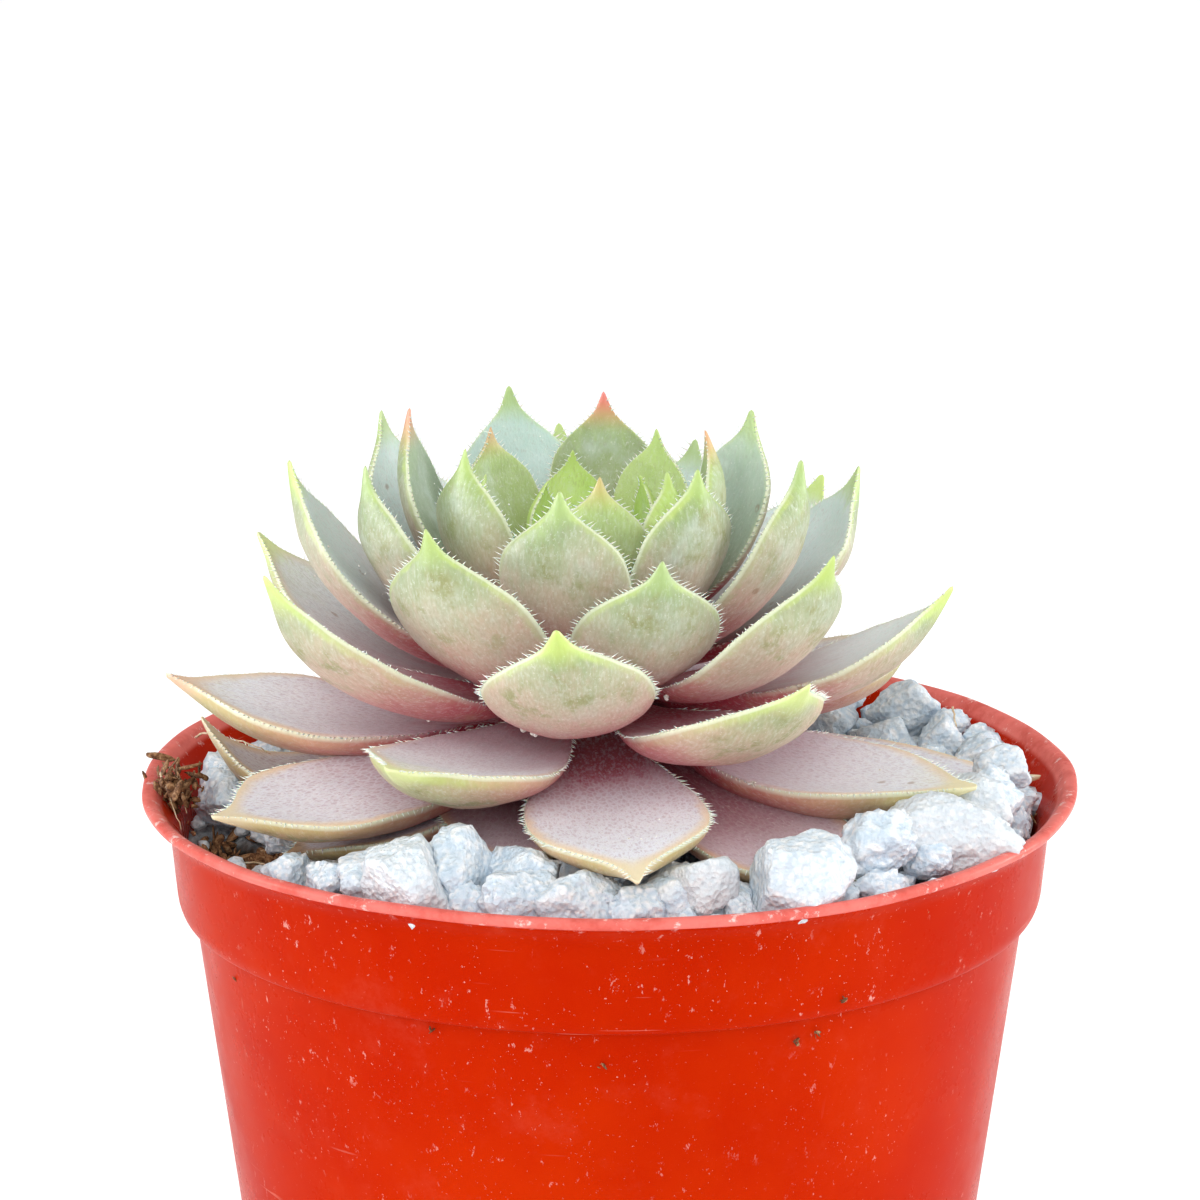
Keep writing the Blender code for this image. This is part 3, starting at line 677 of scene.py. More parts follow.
def hairs(margins, along, above, lateral, age, draw):
    """The stiff white hairs along both margins, each a closed thin cone."""
    points, faces = [], []
    for margin, sign in zip(margins, (1, -1)):
        steps = np.linalg.norm(np.diff(margin, axis=0), axis=1)
        run = np.concatenate([[0], np.cumsum(steps)])
        at = run[-1] * 0.1
        while at < run[-1] * 0.985:
            i = min(int(np.searchsorted(run, at)), len(run) - 1)
            j = max(i - 1, 0)
            f = (at - run[j]) / max(run[i] - run[j], 1e-9)
            spot = margin[j] * (1 - f) + margin[i] * f
            lean = draw.uniform(0.15, 0.75)
            out = lateral * sign + along[i] * lean + above[i] * draw.uniform(-0.35, 0.45)
            out /= np.linalg.norm(out)
            size = HAIR_LENGTH * draw.uniform(0.55, 1.25) * (0.55 + 0.45 * min(1.0, age * 3))
            u = np.cross(out, above[i])
            u /= np.linalg.norm(u)
            v = np.cross(out, u)
            root = spot - out * HAIR_ROOT
            start = len(points)
            for a in range(4):
                c, q = math.cos(a * math.pi / 2), math.sin(a * math.pi / 2)
                points.append(root + (u * c + v * q) * HAIR_RADIUS)
            bent = out + along[i] * 0.15
            points.append(root + bent * (size + HAIR_ROOT))
            for a in range(4):
                faces.append((start + a, start + (a + 1) % 4, start + 4))
            faces.append((start + 3, start + 2, start + 1, start))
            at += HAIR_STEP * draw.uniform(0.7, 1.4)
    return np.array(points), faces


def leaf_arrays(number, placed, draw):
    """Points, faces, skin values and material numbers of one leaf with its hairs."""
    points, faces, values, edges = leaf_surface(number, placed, draw)
    age = number / OLDEST_LEAF
    hair_points, hair_faces = hairs(*edges, age, draw)
    everything, all_faces = joined([(points, faces), (hair_points, hair_faces)])
    values = {key: np.concatenate([v, np.zeros(len(hair_points))]) for key, v in values.items()}
    own = {"age": age, "lot": draw.random(), **{key: leaves.get(number, 0.0) for key, leaves in OWN_LOOKS.items()}}
    values.update({key: np.full(len(everything), value) for key, value in own.items()})
    return everything, all_faces, values, [0] * len(faces) + [1] * len(hair_faces)


def make_leaves(skin, hair):
    made = []
    for number in range(BUD_LEAVES, OLDEST_LEAF + 1):
        node = f"leaf_{number:02d}"
        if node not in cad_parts:
            continue
        arrays = leaf_arrays(number, leaf_frame(number), random.Random(LEAF_SEED + number))
        points, faces, values, indices = arrays
        leaf = mesh_piece(f"houseleek_{node}", points, faces, [skin, hair], values, indices)
        made.append(part_of(leaf, "leaf", node))
    bud = [leaf_arrays(n, bud_frame(n), random.Random(LEAF_SEED + n)) for n in range(BUD_LEAVES)]
    points, faces = joined([(a[0], a[1]) for a in bud])
    values = {key: np.concatenate([a[2][key] for a in bud]) for key in bud[0][2]}
    indices = sum((a[3] for a in bud), [])
    made.append(part_of(mesh_piece("houseleek_bud", points, faces, [skin, hair], values, indices), "leaf", "bud"))
    return made


# ---- pot ----

POT_STEPS = 224
WALL = 0.9 * MM
COLLAR_RADIUS = LIP_RADIUS - 1.8 * MM
COLLAR_FOOT = COLLAR_RADIUS - 0.5 * MM
LEDGE = POT_HEIGHT - 8.4 * MM
BODY_TOP = COLLAR_FOOT - 1.1 * MM
BODY_DRAFT = 6.0 * MM
BASE_TOP = 2.2 * MM  # of the pot's base, inside
DRAIN_HOLES, DRAIN_RADIUS, DRAIN_CIRCLE = 6, 2.2 * MM, 12 * MM


def body_radius(height):
    """Radius of the tapered body under the collar."""
    return BODY_TOP - BODY_DRAFT * (1 - height / LEDGE)


def rounded(corners, steps=5):
    """An outline of (radius, height, rounding) corners, with each rounding drawn as a curve."""
    outline = []
    for i, (r, z, size) in enumerate(corners):
        here = np.array([r, z])
        if size == 0 or i in (0, len(corners) - 1):
            outline.append(here)
            continue
        before, after = np.array(corners[i - 1][:2]), np.array(corners[i + 1][:2])
        into = before - here
        out = after - here
        a = here + into / np.linalg.norm(into) * min(size, np.linalg.norm(into) * 0.48)
        b = here + out / np.linalg.norm(out) * min(size, np.linalg.norm(out) * 0.48)
        outline += [curve_at(a, here, b, k / steps) for k in range(steps + 1)]
    return np.array(outline)


def pot_outline():
    """(radius, height) round the pot's wall, from the middle of its underside to the middle of its base inside."""
    top, low = POT_HEIGHT, 0.0
    foot = body_radius(0)
    corners = [
        (0.0, 1.0 * MM, 0),
        (foot - 4.0 * MM, 1.0 * MM, 0.4 * MM),
        (foot - 3.0 * MM, low, 0.3 * MM),
        (foot - 1.2 * MM, low, 0.5 * MM),
        (body_radius(1.2 * MM), 1.2 * MM, 0.6 * MM),
        (body_radius(LEDGE), LEDGE - 0.15 * MM, 0.25 * MM),
        (COLLAR_FOOT - 0.25 * MM, LEDGE + 0.05 * MM, 0.2 * MM),
        (COLLAR_FOOT, LEDGE + 0.7 * MM, 0.5 * MM),
        (COLLAR_RADIUS, top - 1.9 * MM, 0.6 * MM),
        (COLLAR_RADIUS + 0.8 * MM, top - 0.95 * MM, 0.35 * MM),
        (LIP_RADIUS - 0.1 * MM, top - 0.68 * MM, 0.2 * MM),
        (LIP_RADIUS, top - 0.2 * MM, 0.2 * MM),
        (LIP_RADIUS - 0.35 * MM, top, 0.2 * MM),
        (LIP_RADIUS - WALL, top - 0.12 * MM, 0.25 * MM),
        (COLLAR_RADIUS - WALL, top - 2.6 * MM, 0.8 * MM),
        (COLLAR_FOOT - WALL, LEDGE - 0.1 * MM, 0.4 * MM),
        (body_radius(LEDGE) - WALL, LEDGE - 1.2 * MM, 0.4 * MM),
        (body_radius(BASE_TOP) - WALL, BASE_TOP, 0.5 * MM),
        (0.0, BASE_TOP, 0),
    ]
    outline = rounded(corners)
    # Long straight runs are cut so that the wall can sway a little.
    cut = [outline[0]]
    for a, b in zip(outline, outline[1:]):
        parts = max(1, int(np.linalg.norm(b - a) / (2.5 * MM)))
        cut += [a + (b - a) * k / parts for k in range(1, parts + 1)]
    return np.array(cut)


def inner_radius(height):
    """Radius of the hollow inside the wall."""
    wall = [
        (BASE_TOP, body_radius(BASE_TOP)), (LEDGE - 1.2 * MM, body_radius(LEDGE)), (LEDGE, COLLAR_FOOT),
        (POT_HEIGHT - 2.6 * MM, COLLAR_RADIUS), (POT_HEIGHT, LIP_RADIUS),
    ]
    return float(np.interp(height, [z for z, _ in wall], [r for _, r in wall])) - WALL


def make_pot(material):
    outline = pot_outline()
    ring = outline[1:-1]
    turns = np.arange(POT_STEPS) * 2 * math.pi / POT_STEPS
    # The thin wall isn't quite round, and the lip isn't quite level.
    share = np.clip((ring[:, 1] - 20 * MM) / (37 * MM), 0, 1)[:, None]
    sway = 0.14 * MM * share * (np.sin(2 * turns + 0.7) + 0.5 * np.sin(5 * turns + 2.0))[None, :]
    ripple = 0.05 * MM * share**6 * (np.sin(11 * turns + 1.0) + 0.6 * np.sin(23 * turns))[None, :]
    radius = ring[:, 0][:, None] + sway + ripple - 0.05 * MM
    level = ring[:, 1][:, None] + 0.08 * MM * share**4 * np.sin(3 * turns + 0.4)[None, :]
    points = np.stack([radius * np.cos(turns), radius * np.sin(turns), level], axis=-1).reshape(-1, 3)
    points = np.concatenate([points, [[0, 0, outline[0][1]]], [[0, 0, outline[-1][1]]]])
    pot = mesh_piece("nursery_pot", points, shell_faces(len(ring), POT_STEPS), [material])
    cut_drain_holes(pot)
    heights = np.array([v.co.z for v in pot.data.vertices]) / MM
    pot.data.attributes.new("height", "FLOAT", "POINT").data.foreach_set("value", heights.astype(np.float32))
    pot.data.set_sharp_from_angle(angle=math.radians(40))
    return part_of(pot, "pot_plastic", "pot")


def cut_drain_holes(pot):
    for i in range(DRAIN_HOLES):
        place = polar(DRAIN_CIRCLE, 2 * math.pi * i / DRAIN_HOLES, 1.5 * MM)
        bpy.ops.mesh.primitive_cylinder_add(vertices=40, radius=DRAIN_RADIUS, depth=8 * MM, location=place)
        cutter = bpy.context.object
        cut = pot.modifiers.new("drain", "BOOLEAN")
        cut.operation, cut.object, cut.solver = "DIFFERENCE", cutter, "EXACT"
        graph = bpy.context.evaluated_depsgraph_get()
        mesh = bpy.data.meshes.new_from_object(pot.evaluated_get(graph))
        pot.modifiers.clear()
        pot.data = mesh
        bpy.data.objects.remove(cutter, do_unlink=True)


# ---- what fills the pot ----

BARE = np.array([-25.0, -5.8]) * MM  # the patch of bare mix at the left


def bareness(x, y):
    """1 in the middle of the bare patch, 0 outside it."""
    along = ((x - BARE[0]) * 0.5 + (y - BARE[1]) * -0.866) / (7.0 * MM)
    across = ((x - BARE[0]) * 0.866 + (y - BARE[1]) * 0.5) / (3.6 * MM)
    return max(0.0, 1 - along**2 - across**2)


def bed_height(x, y):
    """Height of the bed under the loose stones."""
    front = max(0.0, -y / (30 * MM))
    right = max(0.0, x / (30 * MM))
    corner = max(0.0, x) * max(0.0, y) / (16 * MM) ** 2
    left = max(0.0, -x / (30 * MM))
    level = 52.9 + 1.1 * front + 1.2 * right + min(0.3, corner) - 1.0 * left - 1.6 * bareness(x, y)
    return level * MM


def make_bed(material):
    rings, steps, low = 64, 180, 3.0 * MM
    points, pale = [], []
    for i in range(rings + 1):
        for k in range(steps):
            turn = 2 * math.pi * k / steps
            radius = (inner_radius(53 * MM) - 0.1 * MM) * i / rings
            x, y = radius * math.cos(turn), radius * math.sin(turn)
            rough = noise.fractal(Vector((x, y, 0)) / (1.6 * MM), 0.7, 2.0, 4) * 0.55 * MM
            points.append((x, y, bed_height(x, y) + rough))
            pale.append(min(1.0, max(0.0, 1.0 - 1.8 * bareness(x, y) ** 0.5)))
    for height, radius in ((48.0 * MM, inner_radius(47.0 * MM)), (low, inner_radius(low))):
        points += [polar(radius - 0.1 * MM, 2 * math.pi * k / steps, height) for k in range(steps)]
    points.append((0, 0, low))
    pale += [0.0] * (len(points) - len(pale))
    base = (rings + 2) * steps
    faces = turned_over(bands(rings + 3, steps))
    faces += [(len(points) - 1, base + (k + 1) % steps, base + k) for k in range(steps)]
    bed = mesh_piece("potting_bed", points, faces, [material], {"pale": pale})
    weld(bed)
    return part_of(bed, "potting_mix", "potting_mix")


def weld(obj):
    """Makes one point of the points that lie together, such as the bed's inmost ring."""
    shape = bmesh.new()
    shape.from_mesh(obj.data)
    bmesh.ops.remove_doubles(shape, verts=shape.verts, dist=0.002 * MM)
    bmesh.ops.recalc_face_normals(shape, faces=shape.faces)
    shape.to_mesh(obj.data)
    shape.free()


def sphere_arrays(divisions):
    """Points and faces of a unit ball of triangles."""
    shape = bmesh.new()
    bmesh.ops.create_icosphere(shape, subdivisions=divisions, radius=1.0)
    points = np.array([v.co for v in shape.verts])
    faces = [tuple(v.index for v in f.verts) for f in shape.faces]
    shape.free()
    return points / np.linalg.norm(points, axis=1)[:, None], faces


SPHERES = {n: sphere_arrays(n) for n in (2, 3, 4, 5)}
CRISPNESS = 34.0  # of the edges between a stone's planes


def stone_arrays(centre, radius, draw, divisions=4, lumpy=0.5, stretch=None, grains=None, flattest=0.62):
    """One crushed stone: planes cut from a ball, roughened and covered with sugary grains."""
    directions, faces = SPHERES[divisions]
    planes = np.array([[draw.gauss(0, 1) for _ in range(3)] for _ in range(draw.randint(8, 13))])
    planes /= np.linalg.norm(planes, axis=1)[:, None]
    offsets = np.array([draw.uniform(flattest, 1.0) for _ in planes])
    facing = np.clip(directions @ planes.T, 1e-3, None)
    reach = np.concatenate([offsets[None, :] / facing, np.full((len(directions), 1), 1.18)], axis=1)
    size = (reach**-CRISPNESS).sum(axis=1) ** (-1 / CRISPNESS)
    points = directions * size[:, None]
    shift = Vector([draw.uniform(-50, 50) for _ in range(3)])
    grain_size = draw.uniform(0.38, 0.6) * MM
    for i, p in enumerate(points):
        at = Vector(p)
        rough = 0.07 * noise.noise(at * 2.2 + shift) + 0.045 * noise.noise(at * 5.0 + shift)
        near = 0.5
        if divisions > 2:
            cells = noise.voronoi(at * (radius / grain_size) + shift)[0]
            near = min(1.0, (cells[1] - cells[0]) * 1.5)
            rough += (0.2 + lumpy) * 0.19 * MM / radius * (near - 0.5)
            rough += lumpy * 0.16 * noise.noise(at * 3.4 - shift)
        # A grain value, low where grains meet, marks where the quartz paints blue-grey shade.
        if grains is not None:
            grains.append(near * 0.75 + 0.25 * noise.noise(at * 7.0 + shift) + 0.12)
        points[i] = p * (1 + rough)
    stretch = stretch or (draw.uniform(0.95, 1.2), draw.uniform(0.8, 1.0), draw.uniform(0.72, 0.95))
    turn = Matrix.Rotation(draw.uniform(0, 6.28), 3, "Z") @ Matrix.Rotation(draw.uniform(-0.5, 0.5), 3, "X")
    if divisions == 5:
        turn = Matrix.Rotation(draw.uniform(-0.3, 0.3), 3, "Z")
    points = (points * np.array(stretch)) @ np.array(turn).T * radius + np.array(centre)
    return points, faces


def ceiling_over(tree, x, y, radius):
    """The lowest leaf above a spot, over the width of a stone."""
    lowest = 1.0
    for k in range(9):
        a = k * math.pi / 4
        reach = 0.0 if k == 8 else radius * 0.5
        hit = tree.ray_cast(Vector((x + reach * math.cos(a), y + reach * math.sin(a), 48 * MM)), Vector((0, 0, 1)))
        if hit[0] is not None:
            lowest = min(lowest, hit[0].z)
    return lowest


# Node, lumpiness, clearness, stretch on each axis, and how near to the middle its planes are cut.
BIG_STONES = (
    ("stone_front_left", 0.25, 0.75, (1.08, 0.95, 1.32), 0.66),
    ("stone_front_right", 0.08, 0.45, (1.02, 0.95, 1.04), 0.86),
    ("stone_right", 0.35, 0.9, (1.22, 0.92, 0.8), 0.62),
)
# Stones that show as themselves at the edge: x, y, radius and rise over the bed in mm, lumpiness, clearness.
PLACED = (
    (-21.5, -19.0, 1.5, 2.2, 0.9, 0.0), (-18.6, -21.5, 1.6, 2.4, 0.9, 0.0), (-16.2, -23.2, 2.1, 2.9, 0.7, 0.2),
    (-9.3, -23.4, 2.5, 3.6, 0.6, 0.1), (-5.6, -23.8, 2.6, 3.4, 1.0, 0.0), (-5.6, -27.2, 2.1, 2.3, 0.8, 0.1),
    (-8.9, -27.3, 1.4, 2.0, 0.6, 0.0), (-2.2, -27.6, 2.2, 2.3, 0.5, 0.3), (0.2, -26.2, 1.2, 2.6, 0.9, 0.0),
    (2.1, -28.4, 1.9, 1.8, 1.0, 0.0), (5.6, -24.6, 2.7, 3.4, 0.7, 0.2), (6.0, -28.0, 2.2, 2.7, 0.2, 1.0),
    (8.6, -28.6, 1.3, 1.4, 0.5, 0.6), (16.4, -23.8, 2.5, 2.9, 1.0, 0.0), (19.8, -22.4, 2.7, 2.8, 1.0, 0.0),
    (25.2, -12.6, 2.2, 2.9, 0.4, 0.8), (26.6, -9.0, 2.2, 2.8, 1.0, 0.0), (27.6, -4.6, 1.8, 3.6, 0.3, 0.1),
    (21.4, 15.6, 2.2, 2.0, 0.4, 0.2), (17.0, 21.0, 2.6, 2.6, 0.6, 0.1), (-27.2, 3.4, 2.4, 3.2, 0.8, 0.0),
    (-26.6, 1.0, 2.2, 2.8, 0.8, 0.0), (-22.0, -9.8, 1.25, 2.7, 0.9, 0.0), (13.6, -28.0, 1.4, 1.2, 0.5, 0.4),
    (-12.4, -28.6, 1.3, 1.0, 0.8, 0.0), (16.8, -27.0, 1.3, 1.0, 0.8, 0.1), (22.9, -20.4, 1.7, 1.9, 0.9, 0.0),
)


# Loose stones by size: tries, largest and smallest radius in mm, divisions of the ball.
SIZES = ((500, 2.6, 1.8, 4), (1400, 1.8, 1.2, 4), (2600, 1.15, 0.65, 3), (2600, 0.6, 0.35, 2))
FRONT = -8 * MM  # where the front gravel ends and the back gravel begins
CLOSEST = 0.84  # distance between two stones, as a share of their radii together


def loose_stones(tree):
    """(centre, radius, lumpiness, clearness, divisions) of each: the largest first, in free places under the leaves."""
    draw = random.Random(77)
    kept = []
    for node, *_ in BIG_STONES:
        low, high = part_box(node)
        kept.append(((low + high) / 2, (high.x - low.x) / 2, None, None, None))
    for x, y, radius, rise, lumpy, clear in PLACED:
        x, y, radius = x * MM, y * MM, radius * MM
        share = min(1.0, (inner_radius(54.5 * MM) - 1.12 * radius) / math.hypot(x, y))
        x, y = x * share, y * share
        under_leaf = ceiling_over(tree, x, y, radius) - 0.1 * MM - radius * 0.85
        height = min(bed_height(x, y) + rise * MM + radius * 0.35, under_leaf)
        kept.append((Vector((x, y, height)), radius, lumpy, clear, 4))
    for tries, biggest, smallest, divisions in SIZES:
        for _ in range(tries):
            turn, radius = draw.uniform(0, 2 * math.pi), draw.uniform(smallest, biggest) * MM
            reach = math.sqrt(draw.uniform((12.5 * MM) ** 2, (29.2 * MM) ** 2))
            x, y = reach * math.cos(turn), reach * math.sin(turn)
            lumpy, clear = draw.choice((0.3, 0.6, 0.9, 1.0)), max(0.0, draw.uniform(-1.2, 1.0))
            height = bed_height(x, y) + radius * draw.uniform(0.35, 0.8) + 0.8 * MM * max(0.0, (reach / MM - 22) / 8)
            missing = 0.995 if radius > 0.5 * MM else 0.75  # share left out of the bare patch
            if reach + radius * 1.12 > inner_radius(height) or (bareness(x, y) > 0.1 and draw.random() < missing):
                continue
            height = min(height, ceiling_over(tree, x, y, radius) - 0.15 * MM - radius * 0.9)
            if height < bed_height(x, y) - radius * 0.6:
                continue
            here = Vector((x, y, height))
            if all((here - at).length > CLOSEST * (radius + other) for at, other, *_ in kept):
                kept.append((here, radius, lumpy, clear, divisions))
    return kept[len(BIG_STONES):]


def stones_piece(name, stones, material, seed, *nodes):
    draw = random.Random(seed)
    parts, lots, clears, grains = [], [], [], []
    for centre, radius, lumpy, clear, divisions in stones:
        points, faces = stone_arrays(centre, radius * 1.04, draw, divisions, lumpy, None, grains)
        parts.append((points, faces))
        lots.append(np.full(len(points), draw.random()))
        clears.append(np.full(len(points), clear))
    points, faces = joined(parts)
    values = {"lot": np.concatenate(lots), "clear": np.concatenate(clears), "grain": np.array(grains)}
    return part_of(mesh_piece(name, points, faces, [material], values), "gravel", *nodes)


def make_gravel(material, tree):
    loose = loose_stones(tree)
    stones_piece("gravel_front", [s for s in loose if s[0].y < FRONT], material, 5, "gravel")
    stones_piece("gravel_back", [s for s in loose if s[0].y >= FRONT], material, 6)
    for node, lumpy, clear, stretch, flattest in BIG_STONES:
        low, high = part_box(node)
        centre, grains = (low + high) / 2 + Vector((0, 0, 0.1 * MM)), []
        draw = random.Random(node)
        points, faces = stone_arrays(centre, (high.x - low.x) * 0.58, draw, 5, lumpy, stretch, grains, flattest)
        values = {"lot": np.full(len(points), 0.8), "clear": np.full(len(points), clear), "grain": np.array(grains)}
        part_of(mesh_piece(f"{node}_quartz", points, faces, [material], values), "gravel", node)


# ---- crown, bark, fibres and crumbs ----


def make_crown(material):
    heights = np.linspace(crown_low.z, crown_high.z, 36)
    stations = [crown_low.z, SEAT - 1.2 * MM, SEAT, SEAT + 5 * MM, crown_high.z]
    radii = np.interp(heights, stations, np.array([1.0, 3.2, 4.0, 3.2, 0.6]) * MM)
    path = [(CROWN.x, CROWN.y, z) for z in heights]
    points, faces = tube(path, radii, 28)
    for i, p in enumerate(points):
        flat = Vector((p[0] - CROWN.x, p[1] - CROWN.y, p[2]))
        rough = 1 + 0.1 * noise.noise(Vector((flat.x, flat.y, flat.z * 0.4)) / (0.8 * MM))
        points[i][:2] = np.array([CROWN.x, CROWN.y]) + np.array([flat.x, flat.y]) * rough
    return piece_of([(points, faces)], "crown_stem", material, "crown", "crown_and_root")


def flake(centre, size, draw):
    """A small torn flake: a flattened, stretched stone."""
    stretch = (draw.uniform(1.0, 2.4), draw.uniform(0.5, 0.9), draw.uniform(0.18, 0.45))
    points, faces = stone_arrays((0, 0, 0), size, draw, 2, 0.0, stretch)
    turn = Matrix.Rotation(draw.uniform(0, 6.28), 3, "X") @ Matrix.Rotation(draw.uniform(0, 6.28), 3, "Y")
    return points @ np.array(turn).T + np.array(centre), faces


def make_bark(material):
    """Dry peat and bark: a clump on the left of the lip, and crumbs in the bare patch."""
    draw = random.Random(31)
    parts = []
    for _ in range(110):
        x, y, z = draw.gauss(-29.6, 0.75), draw.gauss(-2.8, 1.1), draw.gauss(56.6, 0.75)
        parts.append(flake((x * MM, y * MM, max(z, 54.5) * MM), draw.uniform(0.16, 0.46) * MM, draw))
    for _ in range(170):
        x, y = draw.gauss(BARE[0], 2.0 * MM), draw.gauss(BARE[1], 4.4 * MM)
        if math.hypot(x, y) > 28.6 * MM or bareness(x, y) <= 0:
            continue
        z = bed_height(x, y) + draw.uniform(0.1, 0.7) * MM
        parts.append(flake((x, y, z), draw.uniform(0.2, 0.75) * MM, draw))
    for _ in range(60):
        x, y = draw.gauss(-22.9, 1.1) * MM, draw.gauss(-6.4, 1.5) * MM
        z = bed_height(x, y) + draw.uniform(0.2, 1.1) * MM
        parts.append(stone_arrays((x, y, z), draw.uniform(0.25, 0.62) * MM, draw, 2, 0.3))
    for _ in range(26):
        turn = draw.uniform(0, 2 * math.pi)
        reach = inner_radius(55.5 * MM) - draw.uniform(0.4, 1.2) * MM
        place = polar(reach, turn, draw.uniform(54.2, 55.6) * MM)
        parts.append(flake(place, draw.uniform(0.12, 0.34) * MM, draw))
    return piece_of(parts, "bark_crumbs", material, "potting_mix")


# Start, highest part and end of each dry straw, in mm.
STRAWS = (
    ((-29.0, 6.0, 57.5), (-27.4, 3.0, 59.6), (-25.6, 0.6, 57.6)),
    ((-27.6, 7.5, 56.6), (-26.2, 4.6, 58.4), (-23.4, 2.2, 57.4)),
    ((-30.0, -1.4, 57.6), (-29.2, -3.4, 58.0), (-28.6, -5.0, 55.4)),
    ((-30.6, -3.0, 57.7), (-30.0, -4.2, 57.0), (-28.8, -6.8, 54.9)),
    ((24.6, 12.6, 57.9), (24.9, 12.2, 56.2), (25.2, 11.4, 54.6)),
    ((-21.4, -9.6, 54.6), (-19.8, -13.4, 56.9), (-17.2, -12.0, 55.6)),
    ((-25.0, -10.0, 53.4), (-23.4, -12.2, 54.6), (-21.6, -12.8, 54.0)),
)


def make_fibres(material):
    draw = random.Random(12)
    parts, steps = [], 15
    for straw_ends in STRAWS:
        a, b, c = (np.array(p) * MM for p in straw_ends)
        path = []
        for k in range(steps):
            wobble = np.array([draw.uniform(-0.06, 0.06) for _ in range(3)]) * MM
            path.append(curve_at(a, b, c, k / (steps - 1)) + wobble)
        parts.append(tube(path, np.linspace(0.085, 0.035, steps) * MM, 6))
    return piece_of(parts, "dry_fibres", material, "potting_mix")


# Grit that shows on the leaves: its place and size in mm.
GRIT = (
    ((-5.2, -13.1, 64.3), 0.36), ((-4.7, -13.6, 63.9), 0.26), ((-5.6, -12.6, 64.0), 0.18), ((3.9, -10.4, 65.0), 0.24),
    ((8.9, -13.5, 60.0), 0.17), ((4.6, -14.0, 64.2), 0.15), ((-12.0, -9.0, 62.5), 0.14),
)
# Crumbs on the outside of the pot: the turn in degrees, height and size in mm.
COLLAR_CRUMBS = (
    (-113, 47.9, 0.2), (-65, 46.9, 0.26), (-62.5, 47.2, 0.16), (-60, 49.8, 0.2), (-91, 46.3, 0.16), (-150, 47.0, 0.18),
    (30, 47.5, 0.2), (100, 46.0, 0.2),
)


def make_crumbs(material, bark_material, tree):
    """Grit that fell on the leaves, and a few crumbs under the pot's collar."""
    draw = random.Random(4)
    parts, spots = [], []
    for place, size in GRIT:
        at = tree.find_nearest(Vector(place) * MM)[0]
        for _ in range(4):
            near = at + Vector((draw.uniform(-1, 1), draw.uniform(-1, 1), draw.uniform(-0.4, 0.8))) * size * 0.9 * MM
            parts.append(stone_arrays(near, size * draw.uniform(0.5, 0.9) * MM, draw, 2, 0.0))
    for _ in range(44):
        turn, reach = draw.uniform(0, 2 * math.pi), draw.uniform(7, 26)
        x, y = CROWN.x / MM + reach * math.cos(turn), CROWN.y / MM + reach * math.sin(turn)
        spots.append((x * MM, y * MM, draw.uniform(0.05, 0.12) * MM))
    for x, y, size in spots:
        at = tree.ray_cast(Vector((x, y, 0.1)), Vector((0, 0, -1)))[0]
        if at is not None:
            parts.append(stone_arrays(at, size, draw, 2, 0.0))
    piece_of(parts, "fallen_grit", material, "gravel")
    parts = []
    for turn, height, size in COLLAR_CRUMBS:
        height *= MM
        radius = (body_radius(height) if height < LEDGE else COLLAR_FOOT + 0.05 * MM) + 0.02 * MM
        place = Vector(polar(radius, math.radians(turn), height))
        for _ in range(4):
            jitter = Vector((draw.uniform(-0.2, 0.2), draw.uniform(-0.2, 0.2), draw.uniform(-0.22, 0.22))) * MM
            parts.append(flake(place + jitter, size * draw.uniform(0.4, 0.9) * MM, draw))
    piece_of(parts, "collar_crumbs", bark_material, "potting_mix")


# ---- stage, light and camera ----


def make_floor(material):
    bpy.ops.mesh.primitive_circle_add(vertices=96, radius=6.0, fill_type="NGON", location=(0, 0, 0))
    floor = bpy.context.object
    floor.name = "floor"
    floor.data.materials.append(material)


# Name, place, width, height and power in watts. The strips only glint, and the fills only light.
AREA_LIGHTS = (
    ("left_strip", (-0.425, -0.06, 0.09), 0.12, 0.34, 6.0),
    ("right_strip", (0.41, 0.12, 0.09), 0.07, 0.34, 3.2),
    ("left_fill", (-0.425, -0.06, 0.12), 0.22, 0.34, 0.8),
    ("right_fill", (0.41, 0.02, 0.14), 0.22, 0.34, 1.05),
    ("front_fill", (0.0, -0.62, 0.26), 0.5, 0.4, 1.35),
)


def lamp(name, kind, place, towards):
    """A light's object, at a place and facing a direction."""
    light = bpy.data.objects.new(name, bpy.data.lights.new(name, kind))
    light.location = place
    light.rotation_mode = "QUATERNION"
    light.rotation_quaternion = Vector(towards).to_track_quat("-Z", "Y")
    bpy.context.scene.collection.objects.link(light)
    return light


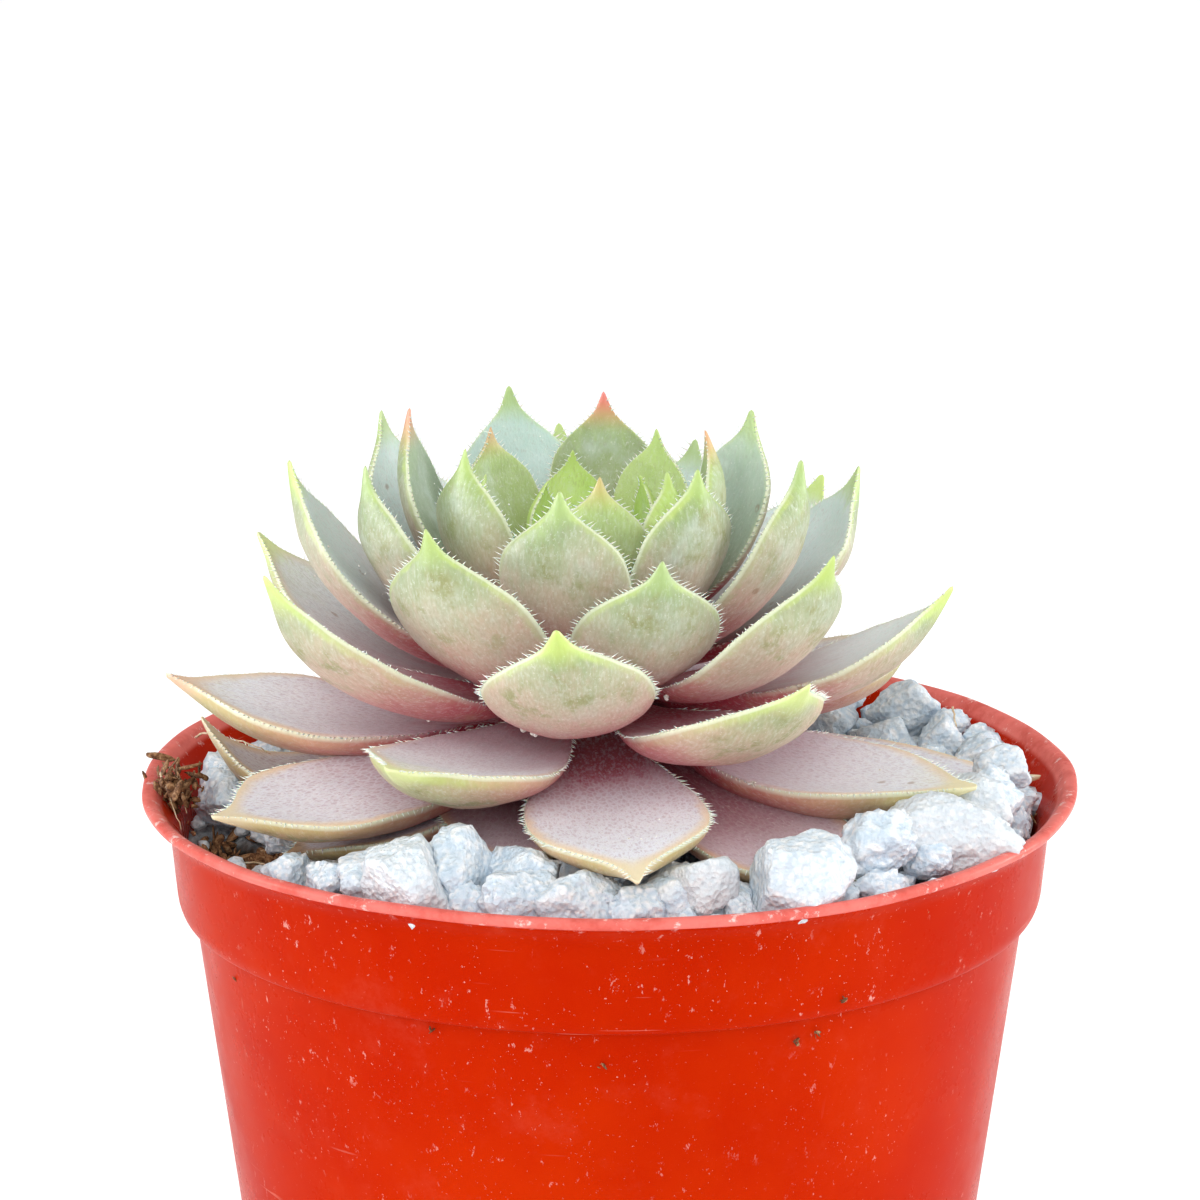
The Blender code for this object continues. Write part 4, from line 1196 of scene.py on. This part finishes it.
def make_light():
    world = bpy.data.worlds.new("studio")
    bpy.context.scene.world = world
    world.use_nodes = True
    background = world.node_tree.nodes["Background"]
    background.inputs["Color"].default_value = (1.0, 1.0, 1.0, 1.0)
    background.inputs["Strength"].default_value = 0.43
    sun = lamp("key", "SUN", (0, 0, 0), (0.12, 0.66, -0.9)).data
    sun.energy, sun.angle = 1.4, math.radians(60)
    for name, place, width, height, power in AREA_LIGHTS:
        light = lamp(name, "AREA", place, Vector((0, 0, 0.06)) - Vector(place))
        light.data.shape = "RECTANGLE"
        light.data.size, light.data.size_y, light.data.energy = width, height, power
        light.visible_diffuse, light.visible_glossy = "fill" in name, "strip" in name


def make_camera():
    """The photograph's view: 17 degrees above the lip, 288 mm from the middle of the pot's mouth."""
    elevation, distance = math.radians(17), 0.288
    aim_above, aim_left = math.radians(2.32615), math.radians(0.13006)
    data = bpy.data.cameras.new("camera")
    data.sensor_width = 36.0
    data.lens = 125.55
    data.clip_start, data.clip_end = 0.01, 20.0
    camera = bpy.data.objects.new("camera", data)
    camera.location = (0, -distance * math.cos(elevation), POT_HEIGHT + distance * math.sin(elevation))
    camera.rotation_euler = (math.pi / 2 - elevation + aim_above, 0, aim_left)
    bpy.context.scene.collection.objects.link(camera)
    bpy.context.scene.camera = camera


def surface_tree(objects):
    """One tree of the surfaces of several pieces."""
    points, faces, start = [], [], 0
    for obj in objects:
        mesh = obj.data
        points += [v.co for v in mesh.vertices]
        faces += [tuple(i + start for i in p.vertices) for p in mesh.polygons if p.material_index == 0]
        start += len(mesh.vertices)
    return BVHTree.FromPolygons(points, faces)


def main():
    make_camera()
    make_light()
    make_floor(floor_paper())
    leaves = make_leaves(leaf_skin(), hair_skin())
    tree = surface_tree(leaves)
    plastic, stone, mix, dry = pot_plastic(), quartz(), peat(), bark()
    make_pot(plastic)
    make_bed(mix)
    make_gravel(stone, tree)
    make_crown(dry)
    make_bark(dry)
    make_fibres(straw())
    make_crumbs(crumb_white(), dry, tree)
    bpy.context.scene.view_settings.view_transform = "Standard"


main()
